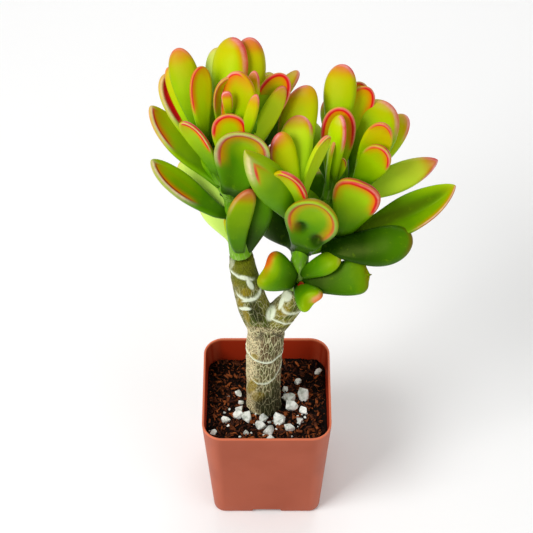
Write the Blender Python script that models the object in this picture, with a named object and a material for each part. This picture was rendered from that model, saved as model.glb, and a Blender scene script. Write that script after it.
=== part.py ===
"""Potted jade plant in a small square nursery pot.

Metres, +Z up. The origin is the middle of the pot's foot on the table, and -Y is the front.
The trunk, its two limbs and the leaves follow what is seen from one viewpoint, given below
as VIEW. A point on a stem is a picture point and its distance behind the pot's middle plane.
A leaf has a real length and width, and it points from its stem at a picture point.
"""

import math
import random
from typing import NamedTuple

import bmesh
import bpy
from mathutils import Matrix, Vector, noise

MM = 0.001
SEED = 20

# Pot: a 57 mm (2 1/4 inch) square nursery pot
POT_TOP = 57.0 * MM
POT_FOOT = 48.6 * MM
POT_HEIGHT = 63.0 * MM
POT_WALL = 1.0 * MM
POT_FLOOR = 1.2 * MM
TOP_CORNER = 9.0 * MM
FOOT_CORNER = 7.5 * MM
FOOT_ROUND = 1.6 * MM
LIP_ROUND = 0.25 * MM
NOTCH_WIDTH = 12.4 * MM
NOTCH_FLARE = 0.8 * MM
NOTCH_HEIGHT = 1.5 * MM
NOTCH_DEPTH = 11.0 * MM
DRAIN_RADIUS = 2.8 * MM
DRAIN_OUT = 18.5 * MM

# Soil
FIT_GAP = 0.3 * MM
SOIL_LEVEL = 52.0 * MM
SOIL_SLOPE = -0.09
SOIL_ROUGHNESS = 1.3 * MM
SOIL_RINGS = 7
SOIL_FOOT = NOTCH_HEIGHT + POT_FLOOR + FIT_GAP
HOLE_DEPTH = 22.0 * MM
HOLE_GAP = 0.9 * MM

# Viewpoint that the stems and leaves were seen from, in a square picture
VIEW_PITCH = math.radians(48.97)
VIEW_EYE = Vector((0.0, -496.2 * MM, 715.5 * MM))
VIEW_FOCAL_PX = 1834.0
VIEW_CENTRE_X_PX = 266.75
VIEW_CENTRE_Y_PX = 266.5

# Leaf form, as shares of a leaf's length, of its width, or of half its width
LEAF_SEGMENTS = 8
LEAF_RINGS = 6
WIDEST_AT = 0.68
PETIOLE_SHARE = 0.42
THICKNESS_SHARE = 0.15
THICKNESS_EXTRA = 0.6 * MM
HOLLOW = 0.34
BOW = 0.05
FOOT_OFFSET = 0.9
WELD = 0.003 * MM

NEAR = -1
FAR = 1


class StemPoint(NamedTuple):
    """A point on the middle line of a stem."""

    x_px: float
    y_px: float
    behind: float
    radius: float


class Chip(NamedTuple):
    """A perlite chip on the soil, by the picture point it is seen at and its size."""

    x_px: float
    y_px: float
    size: float


class Leaf(NamedTuple):
    """A leaf: its stem, how far along it, the picture point of its tip and its real size."""

    stem: str
    at: float
    tip_x_px: float
    tip_y_px: float
    side: int
    length: float
    width: float
    face: float = 0.0
    hollow: float = HOLLOW
    notch: float = 0.0
    point: float = 0.0
    sweep: float = 0.0


class Spare(NamedTuple):
    """A leaf on the side turned away from the view, by its angles on the stem."""

    stem: str
    at: float
    around: float
    lean: float
    length: float
    width: float


def stem_points(*rows):
    """StemPoints from rows of picture x, picture y, and distance behind and radius in mm."""
    return [StemPoint(x, y, behind * MM, radius * MM) for x, y, behind, radius in rows]


TRUNK_LINE = stem_points(
    (265.0, 421, -0.5, 8.6), (264.8, 410, -0.5, 8.4), (263.6, 398, -0.5, 7.6),
    (263.4, 378, -0.5, 7.5), (264.2, 350, -0.5, 7.8), (266.0, 333, -0.5, 8.0),
    (266.5, 320, -0.5, 7.0))
LEFT_LIMB_LINE = stem_points(
    (264.5, 328, -0.5, 7.0), (256.0, 311, -0.5, 6.7), (248.5, 290, -0.5, 6.2),
    (243.5, 270, -0.5, 5.5), (241.3, 256, -0.5, 5.0))
RIGHT_LIMB_LINE = stem_points(
    (267.0, 331, -0.5, 6.2), (277.0, 318, -0.5, 6.3), (287.0, 307, -0.5, 5.8),
    (295.0, 296, -0.5, 5.0), (297.0, 288, -0.5, 4.6))
TRUNK_SCARS = (20.0 * MM, 34.0 * MM, 48.0 * MM, 62.0 * MM)
LEFT_SCARS = (14.0 * MM, 22.0 * MM, 31.0 * MM, 40.0 * MM)
RIGHT_SCARS = (8.0 * MM, 14.0 * MM, 20.0 * MM)

STEMS = {
    "left_main": stem_points(
        (240.9, 254.0, -0.5, 4.7), (236, 228, 2, 4.2), (231, 198, 6, 3.3),
        (228, 165, 10, 2.7), (229, 130, 14, 2.3), (230, 118, 16, 1.8)),
    "left_back": stem_points(
        (230, 184, 8, 2.9), (242, 152, 12, 2.6), (252, 127, 17, 2.2), (256, 114, 19, 1.7)),
    "left_side": stem_points(
        (231, 198, 6, 2.9), (216, 174, 10, 2.5), (208, 152, 13, 2.1), (205, 140, 15, 1.7)),
    "right_main": stem_points(
        (297.2, 286.0, -0.5, 4.3), (299, 266, 1, 4.3), (303, 243, 4, 3.7),
        (314, 216, 9, 3.1), (328, 196, 13, 2.6), (335, 182, 16, 1.9)),
    "right_front": stem_points(
        (305, 238, 3.5, 2.9), (303, 214, 2.5, 2.4), (302, 200, 3.5, 1.8)),
    "right_low": stem_points(
        (303, 250, 3, 2.9), (324, 246, 4, 2.6), (343, 236, 6, 1.8)),
    "right_side": stem_points(
        (318, 210, 10, 2.9), (340, 202, 13, 2.5), (357, 190, 16, 1.8)),
    "right_back": stem_points(
        (328, 197, 13, 2.7), (333, 168, 18, 2.3), (336, 148, 22, 1.8)),
}

LEFT_LEAVES = [
    Leaf("left_side", 0.90, 177, 48, FAR, 37 * MM, 11.0 * MM, face=165),
    Leaf("left_side", 0.70, 168, 67, FAR, 36 * MM, 8.0 * MM, face=165),
    Leaf("left_side", 0.60, 162, 74, FAR, 38 * MM, 11.0 * MM, face=35, point=0.3),
    Leaf("left_side", 0.25, 150, 106, FAR, 40 * MM, 13.5 * MM, face=40, point=0.5),
    Leaf("left_side", 0.35, 182, 122, NEAR, 31 * MM, 10.0 * MM, face=-50),
    Leaf("left_side", 0.95, 201, 66, NEAR, 31 * MM, 10.0 * MM, face=30),
    Leaf("left_main", 0.30, 151, 160, NEAR, 40 * MM, 12.5 * MM, face=40, point=0.4),
    Leaf("left_main", 0.33, 180, 163, FAR, 34 * MM, 12.0 * MM, face=170),
    Leaf("left_main", 0.36, 205, 172, FAR, 26 * MM, 10.0 * MM, face=170),
    Leaf("left_main", 0.08, 199, 196, FAR, 30 * MM, 11.0 * MM, face=170),
    Leaf("left_main", 0.08, 247, 189, NEAR, 35 * MM, 15.0 * MM, face=25, hollow=0.4),
    Leaf("left_main", 0.44, 246, 133, NEAR, 34.5 * MM, 21.5 * MM, hollow=0.45),
    Leaf("left_main", 0.66, 230, 114, NEAR, 27 * MM, 14.0 * MM, hollow=0.42),
    Leaf("left_main", 0.99, 225, 92, NEAR, 20 * MM, 8.0 * MM, face=-80, sweep=-1 * MM),
    Leaf("left_main", 0.80, 229, 76, NEAR, 32 * MM, 11.0 * MM, face=20),
    Leaf("left_main", 0.78, 217, 46, FAR, 38 * MM, 12.0 * MM, face=180),
    Leaf("left_main", 0.82, 233, 36, FAR, 39 * MM, 16.0 * MM, face=150),
    Leaf("left_back", 0.60, 250, 36, FAR, 38 * MM, 13.5 * MM, face=180),
    Leaf("left_main", 0.94, 244, 71, NEAR, 29 * MM, 16.0 * MM, face=-15),
    Leaf("left_back", 0.85, 255, 70, NEAR, 24 * MM, 9.0 * MM, face=90),
    Leaf("left_back", 0.90, 256, 94, NEAR, 24 * MM, 8.0 * MM, face=90),
    Leaf("left_back", 0.92, 267, 77, FAR, 22 * MM, 9.0 * MM, face=90),
    Leaf("left_back", 0.80, 271, 73, FAR, 28 * MM, 9.0 * MM, face=180),
    Leaf("left_back", 0.50, 285, 74, FAR, 30 * MM, 13.5 * MM),
    Leaf("left_back", 0.32, 284, 86, NEAR, 36 * MM, 12.0 * MM, face=180),
    Leaf("left_back", 0.45, 298, 71, FAR, 44 * MM, 10.0 * MM, face=150),
]
RIGHT_LEAVES = [
    Leaf("right_main", 0.10, 262, 265, NEAR, 18 * MM, 16.0 * MM, face=180, notch=3 * MM),
    Leaf("right_main", 0.08, 369, 272, NEAR, 32 * MM, 14.5 * MM, face=180),
    Leaf("right_main", 0.15, 341, 257, NEAR, 22 * MM, 10.0 * MM, face=150),
    Leaf("right_main", 0.07, 316, 297, NEAR, 17 * MM, 9.5 * MM, face=180),
    Leaf("right_front", 0.90, 307, 85, FAR, 43 * MM, 16.0 * MM, face=-165, sweep=-3 * MM),
    Leaf("right_front", 0.92, 300, 114, NEAR, 34 * MM, 13.5 * MM, face=180, sweep=-2 * MM),
    Leaf("right_front", 0.75, 280, 132, NEAR, 36 * MM, 11.5 * MM, face=-160, sweep=-2 * MM),
    Leaf("right_front", 0.55, 281, 173, NEAR, 33 * MM, 13.5 * MM, face=-45),
    Leaf("right_front", 0.55, 246, 150, NEAR, 53 * MM, 18.5 * MM, face=5),
    Leaf("right_main", 0.36, 256, 205, FAR, 30 * MM, 16.0 * MM, face=150),
    Leaf("right_main", 0.36, 319, 212, NEAR, 42 * MM, 21.5 * MM, hollow=0.5),
    Leaf("right_low", 0.95, 364, 186, NEAR, 37 * MM, 19.0 * MM, hollow=0.42),
    Leaf("right_side", 0.85, 384, 148, NEAR, 31 * MM, 12.5 * MM),
    Leaf("right_side", 0.92, 385, 124, NEAR, 38 * MM, 12.0 * MM),
    Leaf("right_side", 0.98, 383, 100, NEAR, 37 * MM, 20.0 * MM, face=170),
    Leaf("right_side", 0.80, 406, 115, FAR, 40 * MM, 14.0 * MM, face=150),
    Leaf("right_side", 0.60, 438, 160, FAR, 41 * MM, 12.0 * MM, face=180, point=0.6),
    Leaf("right_low", 0.98, 455, 186, NEAR, 50 * MM, 17.0 * MM, point=0.7, sweep=2 * MM),
    Leaf("right_low", 0.45, 413, 240, NEAR, 38 * MM, 16.5 * MM, face=170, sweep=2 * MM),
    Leaf("right_main", 0.95, 341, 107, NEAR, 35 * MM, 14.0 * MM),
    Leaf("right_main", 0.99, 341, 115, NEAR, 31 * MM, 10.0 * MM, face=140),
    Leaf("right_front", 0.95, 329, 136, NEAR, 33 * MM, 8.5 * MM, face=60),
    Leaf("right_main", 0.90, 336, 140, NEAR, 25 * MM, 6.0 * MM, face=90),
    Leaf("right_main", 0.97, 343, 158, NEAR, 15 * MM, 5.0 * MM),
    Leaf("right_back", 0.95, 343, 64, FAR, 34 * MM, 13.5 * MM, face=180),
    Leaf("right_back", 0.80, 362, 82, FAR, 33 * MM, 12.0 * MM),
    Leaf("right_back", 0.90, 369, 87, FAR, 29 * MM, 12.0 * MM, face=15),
]
LEFT_SPARES = [
    Spare("left_main", 0.14, 100, 62, 32 * MM, 13 * MM),
    Spare("left_main", 0.30, 60, 60, 34 * MM, 13 * MM),
    Spare("left_main", 0.45, 120, 58, 35 * MM, 13 * MM),
    Spare("left_main", 0.60, 80, 50, 34 * MM, 13 * MM),
    Spare("left_back", 0.25, 70, 64, 33 * MM, 13 * MM),
    Spare("left_back", 0.50, 100, 52, 31 * MM, 12 * MM),
    Spare("left_back", 0.75, 70, 40, 28 * MM, 11 * MM),
    Spare("left_side", 0.35, 115, 60, 32 * MM, 12 * MM),
    Spare("left_side", 0.65, 85, 50, 30 * MM, 12 * MM),
]
RIGHT_SPARES = [
    Spare("right_main", 0.22, 95, 66, 32 * MM, 13 * MM),
    Spare("right_main", 0.45, 120, 62, 33 * MM, 13 * MM),
    Spare("right_main", 0.60, 80, 60, 33 * MM, 13 * MM),
    Spare("right_side", 0.45, 70, 60, 33 * MM, 13 * MM),
    Spare("right_side", 0.75, 50, 48, 30 * MM, 12 * MM),
    Spare("right_back", 0.30, 115, 60, 32 * MM, 12 * MM),
    Spare("right_back", 0.55, 65, 52, 30 * MM, 12 * MM),
    Spare("right_back", 0.80, 95, 42, 27 * MM, 11 * MM),
]
PERLITE = [
    Chip(318, 373, 3.2 * MM), Chip(298, 383, 3.0 * MM), Chip(285, 390, 2.6 * MM),
    Chip(284, 398, 2.8 * MM), Chip(304, 397, 5.6 * MM), Chip(289, 400, 5.0 * MM),
    Chip(292, 408, 5.0 * MM), Chip(304, 411, 3.4 * MM), Chip(239, 395, 2.8 * MM),
    Chip(241, 403, 2.4 * MM), Chip(239, 410, 3.0 * MM), Chip(238, 416, 4.4 * MM),
    Chip(247, 419, 4.6 * MM), Chip(225, 421, 3.6 * MM), Chip(214, 433, 2.8 * MM),
    Chip(263, 419, 3.6 * MM), Chip(260, 426, 4.4 * MM), Chip(279, 421, 5.6 * MM),
    Chip(269, 431, 4.6 * MM), Chip(289, 429, 3.8 * MM), Chip(300, 421, 3.2 * MM),
    Chip(246, 433, 2.4 * MM), Chip(277, 376, 2.6 * MM), Chip(270, 441, 3.0 * MM),
]


def clear_scene():
    """Remove every object of the scene the script starts in."""
    for old in list(bpy.data.objects):
        bpy.data.objects.remove(old, do_unlink=True)


def material(name, colour, roughness, coat=0.0):
    """A plain Principled material."""
    made = bpy.data.materials.new(name)
    made.use_nodes = True
    shader = made.node_tree.nodes["Principled BSDF"]
    shader.inputs["Base Color"].default_value = (*colour, 1.0)
    shader.inputs["Roughness"].default_value = roughness
    shader.inputs["Metallic"].default_value = 0.0
    shader.inputs["Coat Weight"].default_value = coat
    return made


def object_from(name, points, faces):
    """An object in the scene with the given points and faces, cut into triangles."""
    mesh = bpy.data.meshes.new(name)
    mesh.from_pydata([tuple(p) for p in points], [], faces)
    work = bmesh.new()
    work.from_mesh(mesh)
    bmesh.ops.triangulate(work, faces=work.faces)
    work.to_mesh(mesh)
    work.free()
    made = bpy.data.objects.new(name, mesh)
    bpy.context.collection.objects.link(made)
    return made


def lofted(name, rings, foot=None, tip=None):
    """A closed solid through rings that run anticlockwise, lowest first.

    The two ends are fans to the points foot and tip where these are given, or flat faces.
    """
    points = [p for ring in rings for p in ring]
    count = len(rings[0])
    faces = []
    for level in range(len(rings) - 1):
        low = level * count
        for i in range(count):
            j = (i + 1) % count
            faces.append((low + i, low + j, low + count + j, low + count + i))
    top = (len(rings) - 1) * count
    if foot is None:
        faces.append(tuple(reversed(range(count))))
    else:
        points.append(foot)
        faces += [(len(points) - 1, (i + 1) % count, i) for i in range(count)]
    if tip is None:
        faces.append(tuple(range(top, top + count)))
    else:
        points.append(tip)
        faces += [(len(points) - 1, top + i, top + (i + 1) % count) for i in range(count)]
    return object_from(name, points, faces)


def block(name, low, high):
    """A box between two corners."""
    rings = [[Vector((low[0], low[1], z)), Vector((high[0], low[1], z)),
              Vector((high[0], high[1], z)), Vector((low[0], high[1], z))]
             for z in (low[2], high[2])]
    return lofted(name, rings)


def drum(name, x, y, radius, low, high, sides=20):
    """An upright cylinder."""
    turns = [math.tau * i / sides for i in range(sides)]
    rings = [[Vector((x + radius * math.cos(a), y + radius * math.sin(a), z)) for a in turns]
             for z in (low, high)]
    return lofted(name, rings)


def bake(target):
    """Turn an object's modifiers into its own mesh."""
    depsgraph = bpy.context.evaluated_depsgraph_get()
    mesh = bpy.data.meshes.new_from_object(target.evaluated_get(depsgraph))
    target.modifiers.clear()
    target.data = mesh


def combine(target, other, operation):
    """Apply one exact Boolean of another object to the target, and remove the other."""
    boolean = target.modifiers.new(operation.title(), "BOOLEAN")
    boolean.operation = operation
    boolean.solver = "EXACT"
    boolean.object = other
    bake(target)
    bpy.data.objects.remove(other, do_unlink=True)


def fuse(target, pieces):
    """Join many closed pieces to the target by one Boolean union on a collection."""
    group = bpy.data.collections.new(target.name + "_pieces")
    bpy.context.scene.collection.children.link(group)
    for piece in pieces:
        bpy.context.collection.objects.unlink(piece)
        group.objects.link(piece)
    boolean = target.modifiers.new("Fuse", "BOOLEAN")
    boolean.operation = "UNION"
    boolean.solver = "EXACT"
    boolean.operand_type = "COLLECTION"
    boolean.collection = group
    bake(target)
    for piece in pieces:
        bpy.data.objects.remove(piece, do_unlink=True)
    bpy.data.collections.remove(group)
    keep_outer_body(target)


def keep_outer_body(target):
    """Drop loose scraps and the walls of hollows that a union sealed, and split long faces."""
    work = bmesh.new()
    work.from_mesh(target.data)
    bmesh.ops.remove_doubles(work, verts=work.verts, dist=WELD)
    unseen = set(work.verts)
    bodies = []
    while unseen:
        stack = [unseen.pop()]
        body = set(stack)
        while stack:
            for edge in stack.pop().link_edges:
                for vert in edge.verts:
                    if vert in unseen:
                        unseen.remove(vert)
                        body.add(vert)
                        stack.append(vert)
        bodies.append(body)
    bodies.sort(key=len, reverse=True)
    scraps = [vert for body in bodies[1:] for vert in body]
    bmesh.ops.delete(work, geom=scraps, context="VERTS")
    bmesh.ops.triangulate(work, faces=work.faces)
    work.to_mesh(target.data)
    work.free()


def finish(target, made, smooth_angle=40.0):
    """Give an object its material and smooth shading with sharp creases."""
    target.data.materials.clear()
    target.data.materials.append(made)
    target.data.shade_smooth()
    target.data.set_sharp_from_angle(angle=math.radians(smooth_angle))


def rounded_square(half, corner, z, per_corner, per_side=1):
    """Points of a square with round corners, anticlockwise, on the level z."""
    points = []
    for quarter in range(4):
        turn = Matrix.Rotation(quarter * math.pi / 2, 3, "Z")
        centre = Vector((half - corner, half - corner, 0.0))
        for i in range(per_corner):
            angle = math.pi / 2 * i / (per_corner - 1)
            spoke = corner * Vector((math.cos(angle), math.sin(angle), 0.0))
            points.append(turn @ (centre + spoke) + Vector((0, 0, z)))
        start = Vector((half - corner, half, 0.0))
        for i in range(1, per_side):
            run = Vector((-2 * (half - corner) * i / per_side, 0.0, 0.0))
            points.append(turn @ (start + run) + Vector((0, 0, z)))
    return points


def pot_half(z):
    """Half the pot's outer width at a height."""
    return (POT_FOOT + (POT_TOP - POT_FOOT) * z / POT_HEIGHT) / 2


def pot_corner(z):
    """The pot's outer corner radius at a height."""
    return FOOT_CORNER + (TOP_CORNER - FOOT_CORNER) * z / POT_HEIGHT


def pot_ring(z, inset, per_corner=5, per_side=1):
    """The pot's outline at a height, moved inward."""
    return rounded_square(pot_half(z) - inset, pot_corner(z) - inset, z, per_corner, per_side)


def make_pot():
    """The moulded pot, with a drained notch under the middle of each side of its foot."""
    levels = [(0.0, FOOT_ROUND), (0.3 * FOOT_ROUND, 0.4 * FOOT_ROUND), (FOOT_ROUND, 0.0),
              (POT_HEIGHT - LIP_ROUND, 0.0), (POT_HEIGHT, LIP_ROUND)]
    pot = lofted("pot", [pot_ring(z, inset) for z, inset in levels])
    hollow_levels = [POT_FLOOR, POT_HEIGHT, POT_HEIGHT + POT_WALL]
    combine(pot, lofted("hollow", [pot_ring(z, POT_WALL) for z in hollow_levels]), "DIFFERENCE")
    for side in range(4):
        turn = Matrix.Rotation(side * math.pi / 2, 3, "Z")
        combine(pot, notch_roof(turn), "UNION")
        combine(pot, notch_cutter(turn), "DIFFERENCE")
        spot = turn @ Vector((DRAIN_OUT, 0.0, 0.0))
        hole = drum("drain", spot.x, spot.y, DRAIN_RADIUS, 0.0, SOIL_FOOT, sides=12)
        combine(pot, hole, "DIFFERENCE")
    finish(pot, material("pot", (0.42, 0.115, 0.055), 0.5))


def notch_roof(turn):
    """The raised bit of floor over one notch, sunk into the floor and the side."""
    half = NOTCH_WIDTH / 2 + NOTCH_FLARE + POT_WALL
    inner = POT_FOOT / 2 - NOTCH_DEPTH - POT_WALL
    outer = POT_FOOT / 2 - POT_WALL / 2
    rings = []
    for z in (POT_FLOOR / 2, NOTCH_HEIGHT + POT_FLOOR):
        corners = ((inner, -half), (outer, -half), (outer, half), (inner, half))
        rings.append([turn @ Vector((x, y, z)) for x, y in corners])
    return lofted("notch_roof", rings)


def notch_cutter(turn):
    """The room of one notch, whose flanks slope."""
    rings = []
    for x in (POT_FOOT / 2 - NOTCH_DEPTH, POT_TOP):
        wide = NOTCH_WIDTH / 2 + NOTCH_FLARE
        narrow = NOTCH_WIDTH / 2
        section = [(wide + NOTCH_FLARE * 0.6, -POT_FLOOR), (wide, 0.0),
                   (narrow, NOTCH_HEIGHT), (-narrow, NOTCH_HEIGHT),
                   (-wide, 0.0), (-wide - NOTCH_FLARE * 0.6, -POT_FLOOR)]
        rings.append([turn @ Vector((x, y, z)) for y, z in section])
    return lofted("notch", rings)


def sight(x_px, y_px):
    """The direction from the viewpoint through a picture point."""
    forward = Vector((0.0, math.cos(VIEW_PITCH), -math.sin(VIEW_PITCH)))
    up = Vector((0.0, math.sin(VIEW_PITCH), math.cos(VIEW_PITCH)))
    right = Vector((1.0, 0.0, 0.0))
    across = right * (x_px - VIEW_CENTRE_X_PX) / VIEW_FOCAL_PX
    rise = up * (VIEW_CENTRE_Y_PX - y_px) / VIEW_FOCAL_PX
    return (forward + across + rise).normalized()


def seen_behind(x_px, y_px, behind):
    """The point seen at a picture point, at a distance behind the pot's middle plane."""
    ray = sight(x_px, y_px)
    return VIEW_EYE + ray * ((behind - VIEW_EYE.y) / ray.y)


def seen_on_soil(x_px, y_px):
    """The point of the soil's mean surface seen at a picture point."""
    ray = sight(x_px, y_px)
    drop = SOIL_LEVEL + SOIL_SLOPE * VIEW_EYE.y - VIEW_EYE.z
    return VIEW_EYE + ray * (drop / (ray.z - SOIL_SLOPE * ray.y))


def clear_of_sides(spot, size):
    """A chip's place, moved away from the trunk's hole and from the pot's wall as needed."""
    axis = smooth_line(TRUNK_LINE, 0.1)[0]
    way = Vector((spot.x - axis.x, spot.y - axis.y, 0.0))
    least = TRUNK_LINE[0].radius + HOLE_GAP + 0.62 * size
    spot = spot + way.normalized() * max(0.0, least - way.length)
    most = pot_half(SOIL_LEVEL) - POT_WALL - FIT_GAP - 0.85 * size
    spot.x = min(max(spot.x, -most), most)
    spot.y = min(max(spot.y, -most), most)
    return spot


def seen_at_reach(x_px, y_px, foot, reach, side):
    """The point seen at a picture point that lies at a distance from a leaf's foot.

    Where the line of sight passes further off than that, it is the closest point on it.
    """
    ray = sight(x_px, y_px)
    closest = (foot - VIEW_EYE).dot(ray)
    miss = (VIEW_EYE + ray * closest - foot).length
    half_chord = math.sqrt(max(0.0, reach * reach - miss * miss))
    return VIEW_EYE + ray * (closest + side * half_chord)


def smooth_line(knots, share):
    """Point and radius at a share of the way along a stem, on a curve through its points."""
    spots = [seen_behind(k.x_px, k.y_px, k.behind) for k in knots]
    steps = [(b - a).length for a, b in zip(spots, spots[1:])]
    left = min(max(share, 0.0), 1.0) * sum(steps)
    index = 0
    while index < len(steps) - 1 and left > steps[index]:
        left -= steps[index]
        index += 1
    t = left / steps[index]
    p1, p2 = spots[index], spots[index + 1]
    p0 = spots[index - 1] if index > 0 else p1 * 2 - p2
    p3 = spots[index + 2] if index + 2 < len(spots) else p2 * 2 - p1
    point = (p1 * 2 + (p2 - p0) * t + (p0 * 2 - p1 * 5 + p2 * 4 - p3) * t * t
             + (p1 * 3 - p0 - p2 * 3 + p3) * t ** 3) / 2
    radius = knots[index].radius * (1 - t) + knots[index + 1].radius * t
    return point, radius


def stem_direction(knots, share):
    """The direction that a stem grows in at a share of the way along it."""
    step = 0.02
    ahead = smooth_line(knots, min(share + step, 1.0))[0]
    behind = smooth_line(knots, max(share - step, 0.0))[0]
    return (ahead - behind).normalized()


def line_length(knots):
    """The length of a stem's middle line, along its straight steps."""
    spots = [seen_behind(k.x_px, k.y_px, k.behind) for k in knots]
    return sum((b - a).length for a, b in zip(spots, spots[1:]))


def limb(name, knots, sides, spacing, scars=(), swell=0.45 * MM, band=1.3 * MM):
    """A round stem along its middle line, with a raised ring at each leaf scar."""
    length = line_length(knots)
    count = max(2, round(length / spacing))
    side_axis = Vector((0.0, -1.0, 0.0))
    rings = []
    for step in range(count + 1):
        share = step / count
        centre, radius = smooth_line(knots, share)
        along = stem_direction(knots, share)
        side_axis = (side_axis - along * side_axis.dot(along)).normalized()
        third = along.cross(side_axis)
        rise = sum(swell * math.exp(-(((share * length) - s) / band) ** 2) for s in scars)
        ring = []
        for i in range(sides):
            turn = math.tau * i / sides
            spoke = side_axis * math.cos(turn) + third * math.sin(turn)
            ring.append(centre + spoke * (radius + rise))
        rings.append(ring)
    return lofted(name, rings)


def smoothstep(value):
    """Rise smoothly from 0 to 1 as value goes from 0 to 1."""
    value = min(max(value, 0.0), 1.0)
    return value * value * (3 - 2 * value)


def leaf_section(t, turn, length, leaf):
    """A point of a leaf's skin: along it, across it, and out of its hollow face.

    t runs from foot to tip, and turn goes round the leaf. Its margins turn up on one face,
    which makes that face a trough that ends in a spoon at the tip.
    """
    widest = WIDEST_AT - 0.18 * leaf.point
    past = max(0.0, (t - widest) / (1 - widest))
    end = max(0.0, 1 - past ** (2.3 - 0.5 * leaf.point)) ** (0.5 + 0.3 * leaf.point)
    spread = PETIOLE_SHARE + (1 - PETIOLE_SHARE) * smoothstep(t / widest)
    half = leaf.width / 2 * spread * end
    thick = (leaf.width * THICKNESS_SHARE + THICKNESS_EXTRA) * end ** 0.8
    u = math.cos(turn)
    v = math.sin(turn) * math.sqrt(1 + u * u)
    depth = leaf.hollow * leaf.width / 2 * smoothstep((t - 0.12) / 0.6)
    middle = depth * max(0.0, (t - 0.74) / 0.26) ** 2
    rise = middle + (depth - middle) * abs(u) ** 2.4
    share = 0.62 if v < 0 else 0.5 - 0.12 * smoothstep((t - 0.2) / 0.5)
    bow = -BOW * length * 4 * t * (1 - t)
    near_middle = math.exp(-((u * half) / (0.3 * leaf.width)) ** 2)
    dent = leaf.notch * near_middle * smoothstep((t - 0.5) / 0.45)
    return length * t - dent, half * u, thick * share * v + rise + bow


def make_leaf(name, foot, tip, toward, leaf, root, segments=LEAF_SEGMENTS, count=LEAF_RINGS):
    """One closed leaf from its foot, at the stem's skin, to its tip.

    toward is the direction that its hollow face looks in, before it is made square to the leaf,
    and root is the point of the stem's middle line that its first ring is sunk to.
    """
    reach = tip - foot
    straight = reach.normalized()
    upright = (toward - straight * toward.dot(straight)).normalized()
    aside = straight.cross(upright)
    upright.rotate(Matrix.Rotation(math.radians(leaf.face), 3, straight))
    lift = math.asin(leaf.hollow * leaf.width / 2 / reach.length)
    along = straight * math.cos(lift) - upright * math.sin(lift)
    out = upright * math.cos(lift) + straight * math.sin(lift)
    across = out.cross(along)
    length = reach.length * math.cos(lift)

    def place(t, turn):
        x, y, z = leaf_section(t, turn, length, leaf)
        bend = aside * leaf.sweep * 4 * t * (1 - t)
        bend += (root - foot) * (1 - smoothstep(t / 0.2))
        return foot + along * x + across * y + out * z + bend

    rings = []
    for level in range(count):
        t = 1 - (1 - level / count) ** 1.5
        rings.append([place(t, math.tau * i / segments) for i in range(segments)])
    return lofted(name, rings, tip=place(1.0, math.pi / 2))


def leaf_from_view(index, leaf, **fineness):
    """A leaf whose tip is seen at its picture point, turned by face from facing the view."""
    root, radius = smooth_line(STEMS[leaf.stem], leaf.at)
    up = stem_direction(STEMS[leaf.stem], leaf.at)
    toward = VIEW_EYE - root
    outward = (toward - up * toward.dot(up)).normalized()
    foot = root - outward * leaf.side * radius * FOOT_OFFSET
    tip = seen_at_reach(leaf.tip_x_px, leaf.tip_y_px, foot, leaf.length, leaf.side)
    return make_leaf(f"leaf_{index}", foot, tip, toward, leaf, root, **fineness)


def leaf_from_angles(index, spare, **fineness):
    """A leaf placed by the way round its stem, 90 being straight back, and by its lean."""
    foot = smooth_line(STEMS[spare.stem], spare.at)[0]
    up = stem_direction(STEMS[spare.stem], spare.at)
    turn = math.radians(spare.around)
    out = Vector((math.cos(turn), math.sin(turn), 0.0))
    out = (out - up * out.dot(up)).normalized()
    lean = math.radians(spare.lean)
    tip = foot + (up * math.cos(lean) + out * math.sin(lean)) * spare.length
    toward = out * math.cos(lean) - up * math.sin(lean)
    form = Leaf(spare.stem, spare.at, 0, 0, FAR, spare.length, spare.width)
    return make_leaf(f"spare_{index}", foot, tip, toward, form, foot, **fineness)


def make_leafy_stem(name, stems, leaves, spares, colour):
    """A green stem with its branches and leaves, fused into one body."""
    first, *branches = stems
    body = limb(name, STEMS[first], 10, 5 * MM)
    pieces = [limb(branch, STEMS[branch], 8, 6 * MM) for branch in branches]
    pieces += [leaf_from_view(i, leaf) for i, leaf in enumerate(leaves)]
    pieces += [leaf_from_angles(i, spare) for i, spare in enumerate(spares)]
    fuse(body, pieces)
    finish(body, material(name, colour, 0.32, coat=0.3))


def make_trunk():
    """The woody trunk and its two limbs, with a ring at each old leaf scar."""
    trunk = limb("trunk", TRUNK_LINE, 16, 3.0 * MM, TRUNK_SCARS)
    left = limb("left_limb", LEFT_LIMB_LINE, 13, 3.0 * MM, LEFT_SCARS)
    right = limb("right_limb", RIGHT_LIMB_LINE, 13, 3.0 * MM, RIGHT_SCARS)
    fuse(trunk, [left, right])
    finish(trunk, material("trunk", (0.30, 0.27, 0.12), 0.8))


def soil_height(x, y):
    """The soil's bumpy surface, higher at the front as in the view."""
    bump = noise.noise(Vector((x, y, 0.0)) / (5 * MM)) + 0.5 * noise.noise(
        Vector((x, y, 9 * MM)) / (2.2 * MM))
    return SOIL_LEVEL + SOIL_SLOPE * y + SOIL_ROUGHNESS * bump


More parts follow.
